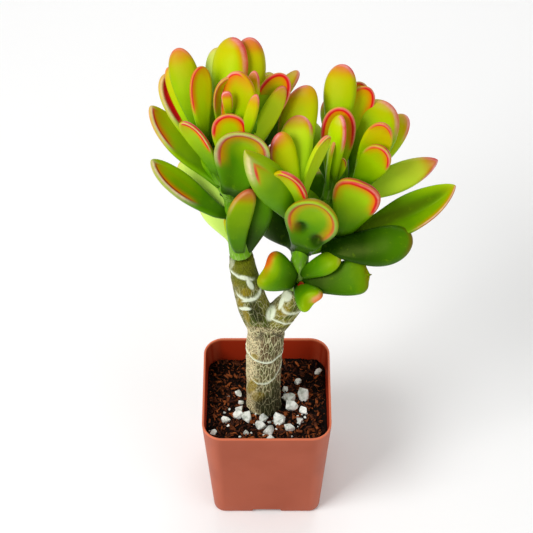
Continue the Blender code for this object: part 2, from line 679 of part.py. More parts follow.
def make_soil(draw):
    """The potting mix with a plain hole for the trunk's foot, and its chips."""
    inset = POT_WALL + FIT_GAP
    hole = smooth_line(TRUNK_LINE, 0.1)[0]
    hole_radius = TRUNK_LINE[0].radius + HOLE_GAP
    wall_top = [p.copy() for p in pot_ring(SOIL_LEVEL, inset, 5, 4)]
    rings = [pot_ring(SOIL_FOOT, inset, 5, 4)]
    for level in range(SOIL_RINGS + 1):
        share = level / SOIL_RINGS
        ring = []
        for p in wall_top:
            way = Vector((p.x - hole.x, p.y - hole.y, 0.0)).normalized()
            rim = Vector((hole.x, hole.y, 0.0)) + way * hole_radius
            spot = Vector((p.x, p.y, 0.0)).lerp(rim, share)
            spot.z = soil_height(spot.x, spot.y)
            ring.append(spot)
        rings.append(ring)
    floor = SOIL_LEVEL - HOLE_DEPTH
    rings.append([Vector((p.x, p.y, floor)) for p in rings[-1]])
    soil = lofted("soil", rings)
    chips = []
    for i, chip in enumerate(PERLITE):
        spot = clear_of_sides(seen_on_soil(chip.x_px, chip.y_px), chip.size)
        chips.append(chip_solid(f"chip_{i}", spot, chip.size, draw))
    fuse(soil, chips)
    finish(soil, material("soil", (0.045, 0.022, 0.014), 0.95), smooth_angle=25)


def chip_solid(name, spot, size, draw):
    """An angular crumb half sunk in the soil."""
    turn = Matrix.Rotation(draw.uniform(0, math.tau), 3, "Z")
    tilt = Matrix.Rotation(draw.uniform(-0.5, 0.5), 3, "X")
    corners = []
    for z in (-0.5, 0.5):
        ring = []
        for x, y in ((-0.5, -0.5), (0.5, -0.5), (0.5, 0.5), (-0.5, 0.5)):
            jitter = Vector([draw.uniform(0.65, 1.05) for _ in range(3)])
            corner = Vector((x * jitter.x, y * jitter.y * 0.8, z * jitter.z * 0.8)) * size
            ring.append(Vector((spot.x, spot.y, soil_height(spot.x, spot.y))) + turn @ tilt @ corner)
        corners.append(ring)
    return lofted(name, corners)


def main():
    """Build the whole plant."""
    clear_scene()
    draw = random.Random(SEED)
    make_pot()
    make_soil(draw)
    make_trunk()
    make_leafy_stem("left_shoot", ("left_main", "left_back", "left_side"), LEFT_LEAVES,
                    LEFT_SPARES, (0.34, 0.42, 0.012))
    make_leafy_stem("right_shoot", ("right_main", "right_front", "right_low", "right_side",
                                    "right_back"), RIGHT_LEAVES, RIGHT_SPARES,
                    (0.30, 0.40, 0.012))


if __name__ == "__main__":
    main()
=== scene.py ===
"""Looks of the potted jade plant: pot, potting mix, trunk and two leafy shoots.

Metres, +Z up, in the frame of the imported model. A stem point is a picture point and its
distance behind the pot's middle plane, and a leaf points from its stem at a picture point.
"""

import logging
import math
import random
from dataclasses import dataclass, field
from enum import Enum
from typing import Callable, NamedTuple, Sequence

import bmesh
import bpy
import numpy as np
from mathutils import Matrix, Vector, noise


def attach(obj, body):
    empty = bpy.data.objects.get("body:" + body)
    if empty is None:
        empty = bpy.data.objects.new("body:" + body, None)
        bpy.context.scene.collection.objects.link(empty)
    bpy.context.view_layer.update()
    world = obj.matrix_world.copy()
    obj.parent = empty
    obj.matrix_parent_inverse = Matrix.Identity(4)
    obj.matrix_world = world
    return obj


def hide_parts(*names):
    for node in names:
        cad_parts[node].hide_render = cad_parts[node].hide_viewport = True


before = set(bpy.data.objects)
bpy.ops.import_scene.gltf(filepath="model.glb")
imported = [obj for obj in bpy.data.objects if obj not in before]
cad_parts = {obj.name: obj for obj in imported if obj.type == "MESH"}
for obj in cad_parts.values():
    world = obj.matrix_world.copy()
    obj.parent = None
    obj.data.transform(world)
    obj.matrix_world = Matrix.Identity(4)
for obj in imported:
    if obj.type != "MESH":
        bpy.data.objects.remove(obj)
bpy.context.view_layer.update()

MM = 0.001
SEED = 20
BODY = "root"
LOG = logging.getLogger("plant")

Colour = tuple[float, float, float, float]


class Slot(Enum):
    """The material slots of the record."""

    POT = "pot"
    SOIL = "soil"
    BARK = "bark"
    LEAF = "leaf"


class Side(Enum):
    """Where a leaf's tip lies on its line of sight, seen from its foot."""

    NEAR = -1
    FAR = 1


class Part(Enum):
    """What is selected in edit mode."""

    POINT = "VERT"
    EDGE = "EDGE"
    FACE = "FACE"


class Carve(Enum):
    """What a Boolean does with its tool."""

    ADD = "UNION"
    TAKE = "DIFFERENCE"


class Cells(Enum):
    """What the distance in a pattern of cells is taken from."""

    MIDDLES = "F1"
    EDGES = "DISTANCE_TO_EDGE"


def srgb(red: int, green: int, blue: int) -> Colour:
    """A linear colour from 8-bit sRGB values.

    Args:
        red: Its red, from 0 to 255.
        green: Its green.
        blue: Its blue.

    Returns:
        The colour, with an alpha of 1.
    """
    parts = [c / 255 for c in (red, green, blue)]
    lit = [c / 12.92 if c <= 0.04045 else ((c + 0.055) / 1.055) ** 2.4 for c in parts]
    return lit[0], lit[1], lit[2], 1.0


def smoothstep(value: np.ndarray | float) -> np.ndarray:
    """Rise smoothly from 0 to 1 as value goes from 0 to 1."""
    held = np.clip(value, 0.0, 1.0)
    return held * held * (3 - 2 * held)


# Shader tools


class Value:
    """A shader socket whose Python operators add Math nodes."""

    def __init__(self, graph: "Graph", socket: bpy.types.NodeSocket) -> None:
        """Wrap one output socket of a graph's node."""
        self.graph = graph
        self.socket = socket

    def maths(self, operation: str, *operands: "Value | float", clamp: bool = False) -> "Value":
        """Add one Math node.

        Args:
            operation: The Math node's operation.
            operands: Its inputs, in order.
            clamp: Whether the result is held between 0 and 1.

        Returns:
            The node's result.
        """
        settings = {"operation": operation, "use_clamp": clamp}
        return self.graph.node("ShaderNodeMath", settings, dict(enumerate(operands)))

    def __add__(self, other: "Value | float") -> "Value":
        """Self plus other."""
        return self.maths("ADD", self, other)

    __radd__ = __add__

    def __sub__(self, other: "Value | float") -> "Value":
        """Self less other."""
        return self.maths("SUBTRACT", self, other)

    def __rsub__(self, other: float) -> "Value":
        """Other less self."""
        return self.maths("SUBTRACT", other, self)

    def __mul__(self, other: "Value | float") -> "Value":
        """Self times other."""
        return self.maths("MULTIPLY", self, other)

    __rmul__ = __mul__

    def __truediv__(self, other: "Value | float") -> "Value":
        """Self over other."""
        return self.maths("DIVIDE", self, other)

    def rise(self, low: float, high: float) -> "Value":
        """A smooth step over self. Low may be above high.

        Args:
            low: Where the step is 0.
            high: Where it is 1.

        Returns:
            The step.
        """
        turned = low > high
        ends = {"From Min": min(low, high), "From Max": max(low, high)}
        settings = {"interpolation_type": "SMOOTHSTEP"}
        step = self.graph.node("ShaderNodeMapRange", settings, {"Value": self, **ends})
        return 1 - step if turned else step

    def bump(self, middle: float, width: float) -> "Value":
        """A smooth hill of height 1 round a middle value."""
        off = self.maths("ABSOLUTE", self - middle)
        return off.rise(width, 0.0)

    def held(self) -> "Value":
        """Self held between 0 and 1."""
        return self.maths("ADD", self, 0.0, clamp=True)


class Graph:
    """The nodes of one material, round its Principled shader."""

    def __init__(self, name: str, **constants: float | Colour) -> None:
        """Start a material.

        Args:
            name: The material's name.
            constants: Shader inputs that are the same all over, with _ for a space.
        """
        self.material = bpy.data.materials.new(name)
        self.material.use_nodes = True
        self.tree = self.material.node_tree
        self.shader = self.tree.nodes["Principled BSDF"]
        for key, number in constants.items():
            self.shader.inputs[key.replace("_", " ")].default_value = number

    def node(self, kind: str, settings: dict, inputs: dict, output: int | str = 0) -> Value:
        """Add any node.

        Args:
            kind: The node's type.
            settings: Its properties, or stops for a ramp's places and colours.
            inputs: Its sockets' values or links, by name or number.
            output: The output socket that is wanted.

        Returns:
            That output.
        """
        made = self.tree.nodes.new(kind)
        for key, setting in settings.items():
            if key == "stops":
                self.set_stops(made.color_ramp, setting)
            else:
                setattr(made, key, setting)
        for key, given in inputs.items():
            if isinstance(given, Value):
                self.tree.links.new(given.socket, made.inputs[key])
            else:
                made.inputs[key].default_value = given
        return Value(self, made.outputs[output])

    @staticmethod
    def set_stops(ramp: bpy.types.ColorRamp, stops: Sequence[tuple[float, Colour]]) -> None:
        """Give a ramp its stops.

        Args:
            ramp: The ramp, with the two stops that a new one has.
            stops: The stops' places and colours, lowest first.
        """
        while len(ramp.elements) < len(stops):
            ramp.elements.new(1.0)
        for element, (place, colour) in zip(ramp.elements, stops):
            element.position = place
            element.color = colour

    def attribute(self, name: str) -> Value:
        """A number kept on the mesh's points."""
        return self.node("ShaderNodeAttribute", {"attribute_name": name}, {}, "Fac")

    def kept_place(self, name: str) -> Value:
        """A place kept on the mesh's points."""
        return self.node("ShaderNodeAttribute", {"attribute_name": name}, {}, "Vector")

    def place(self) -> Value:
        """The place in object coordinates."""
        return self.node("ShaderNodeTexCoord", {}, {}, "Object")

    def stretched(self, place: Value, scale: tuple[float, float, float]) -> Value:
        """A place scaled along each axis."""
        return self.node("ShaderNodeMapping", {}, {"Vector": place, "Scale": scale})

    def noise(self, place: Value, scale: float, detail: float, rough: float = 0.5) -> Value:
        """Soft noise from 0 to 1 at a place."""
        inputs = {"Vector": place, "Scale": scale, "Detail": detail, "Roughness": rough}
        return self.node("ShaderNodeTexNoise", {}, inputs, "Fac")

    def cells(self, place: Value, scale: float, start: Cells) -> Value:
        """The distance from cell middles, or from cell edges."""
        inputs = {"Vector": place, "Scale": scale}
        return self.node("ShaderNodeTexVoronoi", {"feature": start.value}, inputs, "Distance")

    def mix(self, first: Value | Colour, second: Value | Colour, share: Value | float) -> Value:
        """Mix two colours.

        Args:
            first: The colour where share is 0.
            second: The colour where share is 1.
            share: How much of the second is mixed in.

        Returns:
            The mixed colour.
        """
        settings = {"data_type": "RGBA", "blend_type": "MIX", "clamp_factor": True}
        return self.node("ShaderNodeMix", settings, {0: share, 6: first, 7: second}, 2)

    def ramp(self, value: Value, *stops: tuple[float, Colour]) -> Value:
        """A colour from a ramp."""
        return self.node("ShaderNodeValToRGB", {"stops": stops}, {"Fac": value}, "Color")

    def finish(self, colour: Value, roughness: Value, height: Value | None = None,
               depth: float = 0.1 * MM) -> bpy.types.Material:
        """Link what changes over the surface to the shader.

        Args:
            colour: The base colour.
            roughness: The roughness.
            height: The bump's height from 0 to 1.
            depth: What a height of 1 stands for, in metres.

        Returns:
            The finished material.
        """
        self.tree.links.new(colour.socket, self.shader.inputs["Base Color"])
        self.tree.links.new(roughness.socket, self.shader.inputs["Roughness"])
        if height is not None:
            inputs = {"Height": height, "Distance": depth, "Strength": 1.0}
            normal = self.node("ShaderNodeBump", {}, inputs, "Normal")
            self.tree.links.new(normal.socket, self.shader.inputs["Normal"])
        return self.material


# Modelling tools


def start_piece(add: Callable[..., set], name: str, **options: object) -> bpy.types.Object:
    """Add a primitive with nothing else selected.

    Args:
        add: The operator that adds it.
        name: The new object's name.
        options: The operator's own options.

    Returns:
        The new object, active and selected.
    """
    bpy.ops.object.select_all(action="DESELECT")
    add(**options)
    made = bpy.context.active_object
    made.name = name
    return made


def pick(piece: bpy.types.Object, part: Part, wanted: Callable[..., bool]) -> None:
    """Select just the wanted parts of the piece in edit mode.

    Args:
        piece: The piece.
        part: Whether points, edges or faces are selected.
        wanted: Says of each one whether it is wanted.
    """
    bpy.ops.mesh.select_mode(type=part.value)
    bpy.ops.mesh.select_all(action="DESELECT")
    work = bmesh.from_edit_mesh(piece.data)
    parts = {Part.POINT: work.verts, Part.EDGE: work.edges, Part.FACE: work.faces}
    for item in parts[part]:
        item.select_set(wanted(item))
    work.select_flush_mode()
    bmesh.update_edit_mesh(piece.data)


def is_upright(edge: bmesh.types.BMEdge) -> bool:
    """Whether an edge runs up and not round."""
    return abs(edge.verts[0].co.z - edge.verts[1].co.z) > 0.5 * edge.calc_length()


def is_underside(face: bmesh.types.BMFace) -> bool:
    """Whether a face looks down."""
    return face.normal.z < -0.9


def discard(pieces: Sequence[bpy.types.Object]) -> None:
    """Remove pieces that were only tools or models for others."""
    for piece in pieces:
        bpy.data.objects.remove(piece, do_unlink=True)


def copy_piece(source: bpy.types.Object, name: str) -> bpy.types.Object:
    """Copy an object with its own mesh.

    Args:
        source: The object.
        name: The copy's name.

    Returns:
        The copy.
    """
    made = source.copy()
    made.data = source.data.copy()
    made.name = name
    bpy.context.collection.objects.link(made)
    return made


def join_pieces(pieces: Sequence[bpy.types.Object], name: str) -> bpy.types.Object:
    """Join pieces into the first of them.

    Args:
        pieces: The pieces.
        name: The name of what they become.

    Returns:
        The joined piece.
    """
    bpy.ops.object.select_all(action="DESELECT")
    for piece in pieces:
        piece.select_set(True)
    bpy.context.view_layer.objects.active = pieces[0]
    bpy.ops.object.join()
    pieces[0].name = name
    return pieces[0]


def use_modifier(piece: bpy.types.Object, kind: str, **settings: object) -> None:
    """Apply one modifier to a piece.

    Args:
        piece: The piece.
        kind: The modifier's type.
        settings: The modifier's properties.
    """
    bpy.ops.object.select_all(action="DESELECT")
    piece.select_set(True)
    bpy.context.view_layer.objects.active = piece
    modifier = piece.modifiers.new(kind.title(), kind)
    for key, setting in settings.items():
        setattr(modifier, key, setting)
    bpy.ops.object.modifier_apply(modifier=modifier.name)


def rows_of(mesh: bpy.types.Mesh, name: str) -> np.ndarray:
    """Read a vector of every point of a mesh.

    Args:
        mesh: The mesh.
        name: The vector's name, co or normal.

    Returns:
        The vectors, one row each.
    """
    flat = np.empty(len(mesh.vertices) * 3, np.float32)
    mesh.vertices.foreach_get(name, flat)
    return flat.reshape(-1, 3).astype(float)


def points_of(mesh: bpy.types.Mesh) -> np.ndarray:
    """A mesh's points, one row each."""
    return rows_of(mesh, "co")


def move_points(mesh: bpy.types.Mesh, points: np.ndarray) -> None:
    """Put a mesh's points in new places."""
    mesh.vertices.foreach_set("co", np.asarray(points, np.float32).ravel())
    mesh.update()


def normals_of(mesh: bpy.types.Mesh) -> np.ndarray:
    """A mesh's point normals, one row each."""
    return rows_of(mesh, "normal")


def keep(mesh: bpy.types.Mesh, name: str, numbers: np.ndarray) -> None:
    """Keep a number or a vector for each point of a mesh, for its material to read.

    Args:
        mesh: The mesh.
        name: The attribute's name.
        numbers: The numbers, or the vectors one row each.
    """
    vector = numbers.ndim == 2
    kind = "FLOAT_VECTOR" if vector else "FLOAT"
    attribute = mesh.attributes.new(name, kind, "POINT")
    flat = np.asarray(numbers, np.float32).ravel()
    attribute.data.foreach_set("vector" if vector else "value", flat)


def hand_over(piece: bpy.types.Object, node: str,
              material: bpy.types.Material) -> None:
    """Dress a finished piece, give it its body, and hide the CAD node that it stands for.

    Args:
        piece: The piece.
        node: The CAD node that it stands for.
        material: Its material.
    """
    piece.data.materials.append(material)
    piece.data.shade_smooth()
    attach(piece, BODY)
    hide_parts(node)


# The viewpoint


@dataclass(frozen=True)
class View:
    """The viewpoint that stems and leaves were seen from, in a square picture."""

    pitch: float = math.radians(48.97)
    eye: tuple[float, float, float] = (0.0, -496.2 * MM, 715.5 * MM)
    focal_px: float = 1834.0
    centre_px: tuple[float, float] = (266.75, 266.5)
    size_px: float = 533.0
    sensor: float = 36.0

    def sight(self, x_px: float, y_px: float) -> Vector:
        """The direction from the eye through a picture point.

        Args:
            x_px: The picture point's distance from the left.
            y_px: Its distance from the top.

        Returns:
            The direction, of length 1.
        """
        forward = Vector((0.0, math.cos(self.pitch), -math.sin(self.pitch)))
        up = Vector((0.0, math.sin(self.pitch), math.cos(self.pitch)))
        across = Vector((1.0, 0.0, 0.0)) * (x_px - self.centre_px[0]) / self.focal_px
        return (forward + across + up * (self.centre_px[1] - y_px) / self.focal_px).normalized()

    def behind(self, x_px: float, y_px: float, distance: float) -> Vector:
        """The point seen at a picture point, at a distance behind the pot's middle plane."""
        ray = self.sight(x_px, y_px)
        return Vector(self.eye) + ray * ((distance - self.eye[1]) / ray.y)

    def on_level(self, x_px: float, y_px: float, level: float, slope: float) -> Vector:
        """The point of a sloping plane that is seen at a picture point.

        Args:
            x_px: The picture point's distance from the left.
            y_px: Its distance from the top.
            level: The plane's height over the pot's middle.
            slope: How much the plane rises towards the back.

        Returns:
            The point.
        """
        ray = self.sight(x_px, y_px)
        drop = level + slope * self.eye[1] - self.eye[2]
        return Vector(self.eye) + ray * (drop / (ray.z - slope * ray.y))

    def at_reach(self, x_px: float, y_px: float, foot: Vector, reach: float, side: Side) -> Vector:
        """The point seen at a picture point that lies at a distance from a leaf's foot.

        Args:
            x_px: The picture point's distance from the left.
            y_px: Its distance from the top.
            foot: The leaf's foot.
            reach: The distance.
            side: Which of the two points at that distance is wanted.

        Returns:
            The point, or the one nearest the foot where none is at that distance.
        """
        ray = self.sight(x_px, y_px)
        closest = (foot - Vector(self.eye)).dot(ray)
        miss = (Vector(self.eye) + ray * closest - foot).length
        half_chord = math.sqrt(max(0.0, reach * reach - miss * miss))
        return Vector(self.eye) + ray * (closest + side.value * half_chord)

    def picture(self, points: np.ndarray) -> np.ndarray:
        """Where points are seen.

        Args:
            points: The points, one row each.

        Returns:
            Their picture points, one row each.
        """
        away = points - np.array(self.eye)
        ahead = away[:, 1] * math.cos(self.pitch) - away[:, 2] * math.sin(self.pitch)
        rise = away[:, 1] * math.sin(self.pitch) + away[:, 2] * math.cos(self.pitch)
        x = self.centre_px[0] + self.focal_px * away[:, 0] / ahead
        y = self.centre_px[1] - self.focal_px * rise / ahead
        return np.stack([x, y], 1)

    def camera(self) -> None:
        """Put the camera there."""
        data = bpy.data.cameras.new("camera")
        data.sensor_width = self.sensor
        data.lens = self.focal_px / self.size_px * self.sensor
        data.shift_x = (self.size_px / 2 - self.centre_px[0]) / self.size_px
        made = bpy.data.objects.new("camera", data)
        made.location = self.eye
        made.rotation_euler = (math.pi / 2 - self.pitch, 0.0, 0.0)
        bpy.context.collection.objects.link(made)
        bpy.context.scene.camera = made


VIEW = View()


# Finishes


@dataclass(frozen=True)
class LeafSkin:
    """A waxy leaf: green at its foot, golden towards its end, with a red line inside its rim.

    It reads how far a point is along the leaf, from its rim and on which face it is.
    """

    deep: Colour = srgb(26, 62, 0)
    green: Colour = srgb(84, 142, 0)
    lime: Colour = srgb(156, 194, 0)
    yellow: Colour = srgb(196, 184, 0)
    amber: Colour = srgb(204, 142, 0)
    orange: Colour = srgb(232, 112, 6)
    red: Colour = srgb(218, 10, 26)
    maroon: Colour = srgb(112, 4, 4)
    # pale and cream colour the waxy dust on the rim's crest, which also stands for a painted
    # highlight there.
    pale: Colour = srgb(252, 200, 192)
    cream: Colour = srgb(242, 222, 168)
    # These two colours are painted light: the paler, brighter greens that lit leaves are mixed
    # towards.
    painted_light_lime: Colour = srgb(192, 232, 4)
    painted_light: Colour = srgb(204, 232, 112)

    def make(self) -> bpy.types.Material:
        """Build the material.

        Returns:
            The material.
        """
        g = Graph("leaf_skin", IOR=1.42, Specular_IOR_Level=0.24,
                  Specular_Tint=(0.9, 1.0, 0.2, 1.0))
        along, rim, face, mark = (g.attribute(n) for n in ("along", "rim", "face", "mark"))
        gold, blush, shade, pale = (g.attribute(n) for n in ("gold", "blush", "shade", "pale"))
        wide = g.attribute("wide")
        spot = g.place()
        broad = g.noise(spot, 90.0, 2.0)
        fine = g.noise(spot, 420.0, 3.0, 0.6)
        inner = face.rise(-0.1, 0.25)
        outer = 1 - inner
        # The body, from dark green at the foot to gold at the end. Painted shade makes leaves deep
        # in the crown, and their pits and middle creases, greener and darker.
        warmth = (along * 0.62 + gold * 0.40 - shade * 0.3 + (broad - 0.5) * 0.2).held()
        body = g.ramp(warmth, (0.06, self.deep), (0.34, self.green), (0.62, self.lime),
                      (0.84, self.yellow), (1.0, self.amber))
        body = g.mix(body, self.deep, (shade * 0.6).held())
        # Painted light: a leaf is mixed towards a paler, brighter green, more towards its end.
        painted_light = g.attribute("painted_light")
        lighter = g.mix(self.painted_light_lime, self.painted_light, painted_light.rise(0.5, 1.0))
        body = g.mix(body, lighter, (painted_light * (0.5 + along * 0.5)).held())
        # The red line inside the rim, with its glow, and the red back edge and end
        offset = g.attribute("offset")
        past = rim - offset
        begun = past.rise(-0.3, 0.1)
        line = begun * (1 - (past / wide).rise(0.55, 1.3)) * inner * mark
        glow_in = (1 - ((past - wide * 0.6) / (1.2 + gold * 3.4)).held()) * begun * inner * mark
        end = along.rise(0.66, 1.0)
        near_rim = (1 - (rim / (1.2 + gold * 2.0)).held()) * (1 - offset * 0.5).held()
        glow_out = (near_rim * mark + end * end * gold * 0.4) * outer
        glow = (glow_in + glow_out).held()
        warm = g.mix(body, self.amber, glow * (gold * 0.7 + 0.35).held())
        warm = g.mix(warm, self.orange, (glow * glow * (blush * 0.8 - 0.15)).held())
        edge = rim.rise(1.15, 0.1) * outer * mark * (1 - offset * 0.7).held()
        cap = end.rise(0.4, 1.1) * g.attribute("cap") * (1 - inner * 0.4)
        red_share = ((line * 1.2 + edge + cap) * blush * ((broad - 0.5) * 2.4 + 0.92)).held()
        dark = (g.attribute("dusk") + (broad - 0.5) * 0.7).held()
        coloured = g.mix(warm, g.mix(self.red, self.maroon, dark), red_share)
        # The pale waxy dust on the crest of the rim and on the back of the end, which also stands
        # for a painted highlight there
        crest = (rim / (offset + 0.6)).bump(0.45, 0.6)
        crest = (crest + end.rise(0.7, 1.0) * outer * 0.35) * mark
        bloom_and_highlight = (crest * pale * (fine * 0.7 + 0.15 - outer * 0.15)).held()
        dusted_and_highlit = g.mix(coloured, g.mix(self.cream, self.pale, (outer + blush * 0.5).held()), bloom_and_highlight)
        speck = fine.rise(0.58, 0.72) * 0.10
        final = g.mix(dusted_and_highlit, self.lime, speck)
        height = fine * 0.5 + g.noise(spot, 1500.0, 1.0) * 0.3
        return g.finish(final, 0.34 + fine * 0.16, height, 0.08 * MM)


@dataclass(frozen=True)
class StemSkin:
    """A green young stem that turns olive and corky towards its foot."""

    green: Colour = srgb(106, 164, 6)
    dark: Colour = srgb(56, 104, 2)
    cork: Colour = srgb(170, 204, 104)

    def make(self) -> bpy.types.Material:
        """Build the material.

        Returns:
            The material.
        """
        g = Graph("stem_skin", IOR=1.42, Specular_IOR_Level=0.1)
        grain = g.kept_place("grain")
        along = g.attribute("along")
        spots = g.cells(g.stretched(grain, (0.55, 0.55, 0.3)), 1.0, Cells.MIDDLES)
        streak = g.noise(g.stretched(grain, (0.9, 0.9, 0.12)), 1.0, 4.0, 0.6)
        body = g.mix(self.green, self.dark, streak.rise(0.35, 0.7))
        corky = spots.rise(0.3, 0.12) * 0.25 + along.rise(0.5, 0.0) * streak.rise(0.40, 0.65) * 0.7
        final = g.mix(body, self.cork, corky.held())
        height = spots.rise(0.1, 0.5) * 0.5 + streak
        return g.finish(final, 0.42 + streak * 0.2, height, 0.14 * MM)


@dataclass(frozen=True)
class Bark:
    """Cream bark with green-grey cells, pale veins, papery scars and dark patches, with painted
    light making the side that faces the key light lighter and creamier.
    """

    cream: Colour = srgb(226, 208, 160)
    tan: Colour = srgb(94, 72, 40)
    sage: Colour = srgb(84, 98, 44)
    brown: Colour = srgb(70, 48, 26)
    vein: Colour = srgb(216, 210, 164)
    paper: Colour = srgb(226, 234, 208)
    ochre: Colour = srgb(150, 128, 10)
    dark_patch: Colour = srgb(42, 44, 16)
    young: Colour = srgb(104, 110, 4)
    olive: Colour = srgb(136, 134, 32)
    leafy: Colour = srgb(76, 100, 16)

    def make(self) -> bpy.types.Material:
        """Build the material.

        Returns:
            The material.
        """
        g = Graph("bark", IOR=1.4, Specular_IOR_Level=0.2)
        grain = g.kept_place("grain")
        # lit, kept as cream, is painted light: the side that faces the key light gets more cream
        # ridges and flecks, fewer brown flecks and less green.
        scar, dark_patch, ochre, young, lit, limb = (
            g.attribute(n) for n in ("scar", "dark_patch", "ochre", "young", "cream", "limb"))
        wide = g.noise(g.stretched(grain, (0.22, 0.22, 0.10)), 1.0, 3.0)
        fine_net = g.cells(g.stretched(grain, (1.35, 1.35, 0.42)), 1.0, Cells.EDGES)
        open_net = g.cells(g.stretched(grain, (0.68, 0.68, 0.17)), 1.0, Cells.EDGES)
        fleck = g.noise(g.stretched(grain, (2.2, 2.2, 1.2)), 1.0, 3.0, 0.65)
        pits = g.mix(self.sage, self.tan, wide.rise(0.40, 0.60))
        green = g.mix(self.olive, self.leafy, wide.rise(0.38, 0.60))
        pits = g.mix(pits, green, limb * 0.92)
        pits = g.mix(pits, self.brown, (fleck.rise(0.44, 0.58)
                                           * (1 - lit * 0.35) * (1 - limb * 0.35)).held())
        ridge = fine_net.rise(0.22, 0.06) * (0.16 + lit * 0.84) * (1 - limb * 0.8)
        body = g.mix(pits, self.cream, (ridge + lit * fleck.rise(0.60, 0.40) * 0.5).held())
        veins = open_net.rise(0.08, 0.02) * (1 - young)
        body = g.mix(body, self.vein, veins * (0.8 - limb * 0.3))
        body = g.mix(body, self.ochre, (ochre * fleck.rise(0.25, 0.5) * 0.9).held())
        body = g.mix(body, self.young, (young * (0.6 + wide.rise(0.3, 0.6) * 0.4)
                                        * (1 - lit * 0.5)).held())
        # Darker patches where the trunk marks them: low on its right side and on its left limb.
        patch_darkness = dark_patch * (0.62 + fleck.rise(0.35, 0.55) * 0.38) * (1 - veins * 0.3)
        body = g.mix(body, self.dark_patch, patch_darkness.held())
        papery = (scar * (0.75 + fleck * 0.5)).held()
        final = g.mix(body, self.paper, papery)
        height = (fleck * 0.5 + fine_net.rise(0.30, 0.0) * 0.7) * (1 - scar) + scar * 0.8
        return g.finish(final, 0.66 + fleck * 0.25, height, 0.4 * MM)


@dataclass(frozen=True)
class PotPlastic:
    """Matte terracotta-coloured plastic, with faint flow marks and rubbed corners, painted shade
    on its inner wall and painted light on its lip.
    """

    outside: Colour = srgb(167, 79, 49)
    # Painted shade: the inner wall is the same plastic, coloured darker and redder.
    inside: Colour = srgb(158, 42, 12)
    # Painted light: the lip is the same plastic, coloured lighter where its top edge catches the
    # light and light shines through the thin wall.
    lip: Colour = srgb(216, 114, 78)
    mark: Colour = srgb(150, 66, 38)

    def make(self) -> bpy.types.Material:
        """Build the material.

        Returns:
            The material.
        """
        g = Graph("pot_plastic", IOR=1.46, Specular_IOR_Level=0.3)
        spot = g.place()
        inner, lip, rub = (g.attribute(n) for n in ("inner", "lip", "rub"))
        cloud = g.noise(spot, 38.0, 3.0, 0.55)
        flow = g.noise(g.stretched(spot, (1.0, 1.0, 0.25)), 160.0, 2.0)
        grit = g.noise(spot, 2600.0, 1.0)
        body = g.mix(self.outside, self.mark, cloud.rise(0.38, 0.68) * 0.35 + flow * 0.08)
        # Painted shade on the inner wall.
        body = g.mix(body, self.inside, inner)
        # Painted light on the lip, and lighter rubbed corners.
        body = g.mix(body, self.lip, (lip * 0.75 + rub * cloud.rise(0.3, 0.6) * 0.25).held())
        roughness = 0.46 + cloud * 0.12 - rub * 0.06
        height = grit * 0.6 + flow * 0.4
        return g.finish(body, roughness, height, 0.03 * MM)


@dataclass(frozen=True)
class Earth:
    """Moist dark potting mix."""

    dark: Colour = srgb(12, 6, 4)
    brown: Colour = srgb(74, 33, 14)

    def make(self) -> bpy.types.Material:
        """Build the material.

        Returns:
            The material.
        """
        g = Graph("earth", IOR=1.4, Specular_IOR_Level=0.12)
        spot = g.place()
        crumb = g.noise(spot, 520.0, 4.0, 0.7)
        patch = g.noise(spot, 170.0, 2.0)
        body = g.mix(self.dark, self.brown, (crumb.rise(0.5, 0.75) * patch.rise(0.35, 0.6)).held())
        return g.finish(body, 0.7 + crumb * 0.25, crumb, 0.6 * MM)


@dataclass(frozen=True)
class Fibre:
    """Orange-brown bits of bark and coir."""

    dark: Colour = srgb(44, 17, 7)
    orange: Colour = srgb(184, 98, 44)

    def make(self) -> bpy.types.Material:
        """Build the material.

        Returns:
            The material.
        """
        g = Graph("fibre", IOR=1.4, Specular_IOR_Level=0.2)
        grain = g.noise(g.place(), 900.0, 3.0, 0.6)
        tone = g.attribute("tone")
        body = g.mix(self.dark, self.orange, (tone * 0.74 + (grain - 0.5) * 0.7).held())
        return g.finish(body, 0.66 + grain * 0.2, grain, 0.3 * MM)


@dataclass(frozen=True)
class Perlite:
    """Chalky grey-white perlite, greyer in soft clouds and on some chips, with pitted bumps."""

    white: Colour = srgb(246, 248, 240)
    grey: Colour = srgb(172, 180, 168)

    def make(self) -> bpy.types.Material:
        """Build the material.

        Returns:
            The material.
        """
        g = Graph("perlite", IOR=1.45)
        spot = g.place()
        pit = g.cells(spot, 1500.0, Cells.MIDDLES)
        cloud = g.noise(spot, 420.0, 3.0)
        tone = g.attribute("tone")
        body = g.mix(self.white, self.grey, (cloud.rise(0.42, 0.7) * 0.8 + tone * 0.5).held())
        return g.finish(body, 0.8 + cloud * 0.15, pit * 0.6 + cloud, 0.35 * MM)


@dataclass(frozen=True)
class Plain:
    """The pale floor's finish."""

    tone: Colour = srgb(250, 250, 250)

    def make(self) -> bpy.types.Material:
        """Build the material.

        Returns:
            The material.
        """
        g = Graph("floor", IOR=1.3)
        cloud = g.noise(g.place(), 6.0, 2.0)
        body = g.mix(self.tone, srgb(248, 248, 247), cloud)
        return g.finish(body, 0.85 + cloud * 0.05)


# Stems


class StemPoint(NamedTuple):
    """A point on the middle line of a stem."""

    x_px: float
    y_px: float
    behind: float
    radius: float


def stem_points(*rows: tuple[float, float, float, float]) -> list[StemPoint]:
    """StemPoints from rows of picture x, picture y, and distance behind and radius in mm."""
    return [StemPoint(x, y, behind * MM, radius * MM) for x, y, behind, radius in rows]


